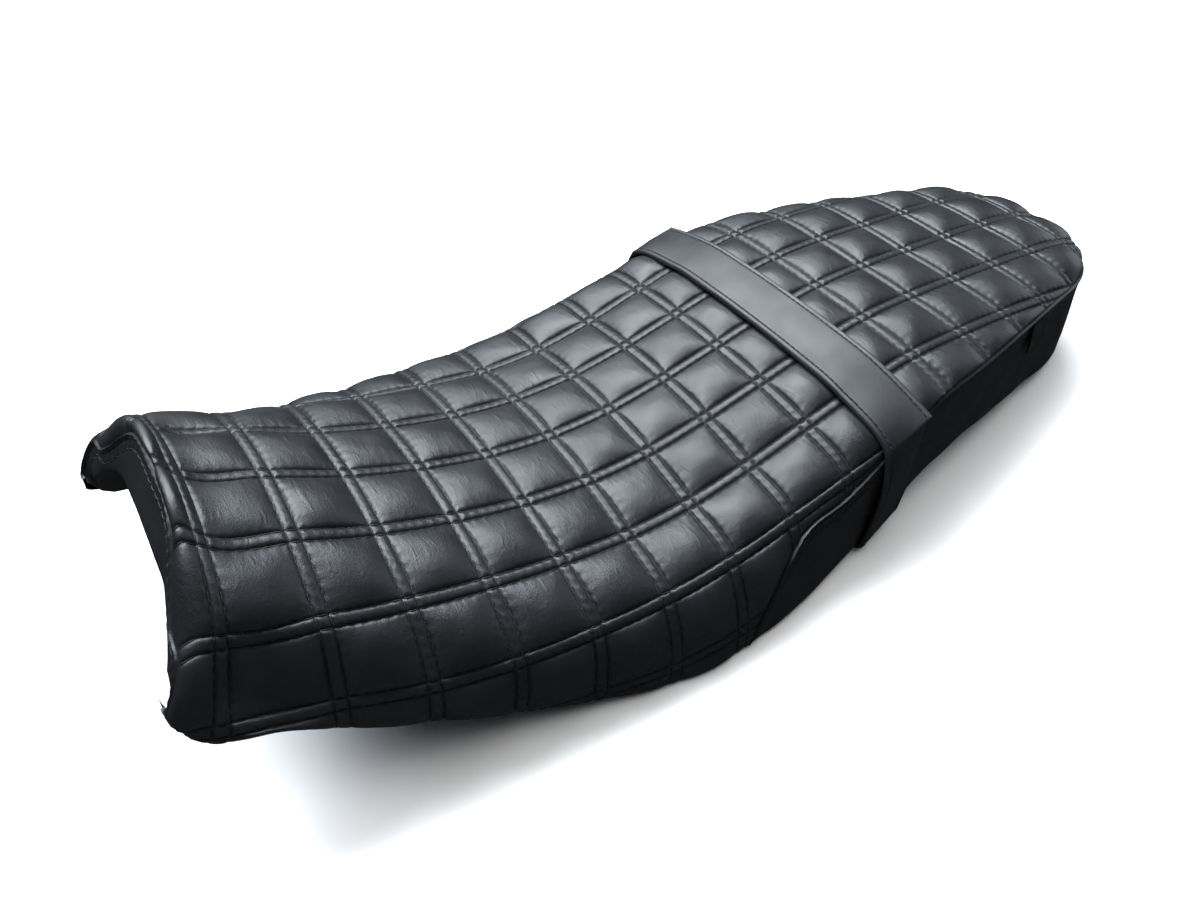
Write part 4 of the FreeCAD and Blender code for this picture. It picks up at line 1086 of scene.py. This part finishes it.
# ------------------------------------------------------------------------------- stage and camera
camera = bpy.data.objects.new("camera", bpy.data.cameras.new("camera"))
bpy.context.scene.collection.objects.link(camera)
camera.data.lens = 26.8
camera.data.sensor_width = 36.0
camera.data.clip_start = 0.01
camera.location = to_row(np.array([2.9, -359.3, 440.5]))
camera.rotation_euler = (math.radians(45.57), 0.0, math.radians(-33.6))
bpy.context.scene.camera = camera


def pale_floor():
    bpy.ops.mesh.primitive_plane_add(size=16.0, location=(0.0, 0.0, 0.0))
    floor = bpy.context.object
    floor.name = "floor"
    material, nodes, links = nodes_of("floor")
    shader = nodes["Principled BSDF"]
    noise = add(nodes, "ShaderNodeTexNoise", Scale=3.0, Detail=2.0)
    links.new(add(nodes, "ShaderNodeTexCoord").outputs["Object"], noise.inputs["Vector"])
    links.new(ramp(nodes, links, noise.outputs["Fac"], 0.0, 1.0, grey(0.86), grey(0.9)),
              shader.inputs["Base Color"])
    shader.inputs["Roughness"].default_value = 0.9
    shader.inputs["Specular IOR Level"].default_value = 0.1
    floor.data.materials.append(material)
    floor.visible_glossy = False


def softbox(name, place, target, width, height, power, colour, glossy=True):
    light = bpy.data.lights.new(name, "AREA")
    light.shape = "RECTANGLE"
    light.size, light.size_y = width, height
    light.energy = power
    light.color = colour
    holder = bpy.data.objects.new(name, light)
    bpy.context.scene.collection.objects.link(holder)
    holder.location = place
    aim = Vector(target) - Vector(place)
    holder.rotation_euler = aim.to_track_quat("-Z", "Y").to_euler()
    holder.visible_glossy = glossy


def sky_place(elevation, azimuth, reach=2.5):
    up, around = math.radians(elevation), math.radians(azimuth)
    level = reach * math.cos(up)
    place = (level * math.cos(around), level * math.sin(around), reach * math.sin(up))
    return place, (0.0, 0.0, 0.05)


def studio():
    world = bpy.data.worlds.new("studio")
    bpy.context.scene.world = world
    world.use_nodes = True
    world.node_tree.nodes["Background"].inputs["Color"].default_value = (0.8, 0.9, 1.0, 1.0)
    world.node_tree.nodes["Background"].inputs["Strength"].default_value = 0.04
    window = (0.86, 0.93, 1.0)
    for elevation, azimuth, power in ((12, 0, 9.0), (35, 90, 18.0), (58, 60, 83.0), (58, 120, 103.0)):
        softbox(f"window_{elevation}_{azimuth}", *sky_place(elevation, azimuth), 1.3, 1.3, power, window)
    softbox("overhead", (0.0, 0.0, 3.0), (0.0, 0.0, 0.0), 3.0, 3.0, 90.0, (1.0, 1.0, 1.0), glossy=False)
    bpy.context.scene.view_settings.view_transform = "Standard"


pale_floor()
studio()
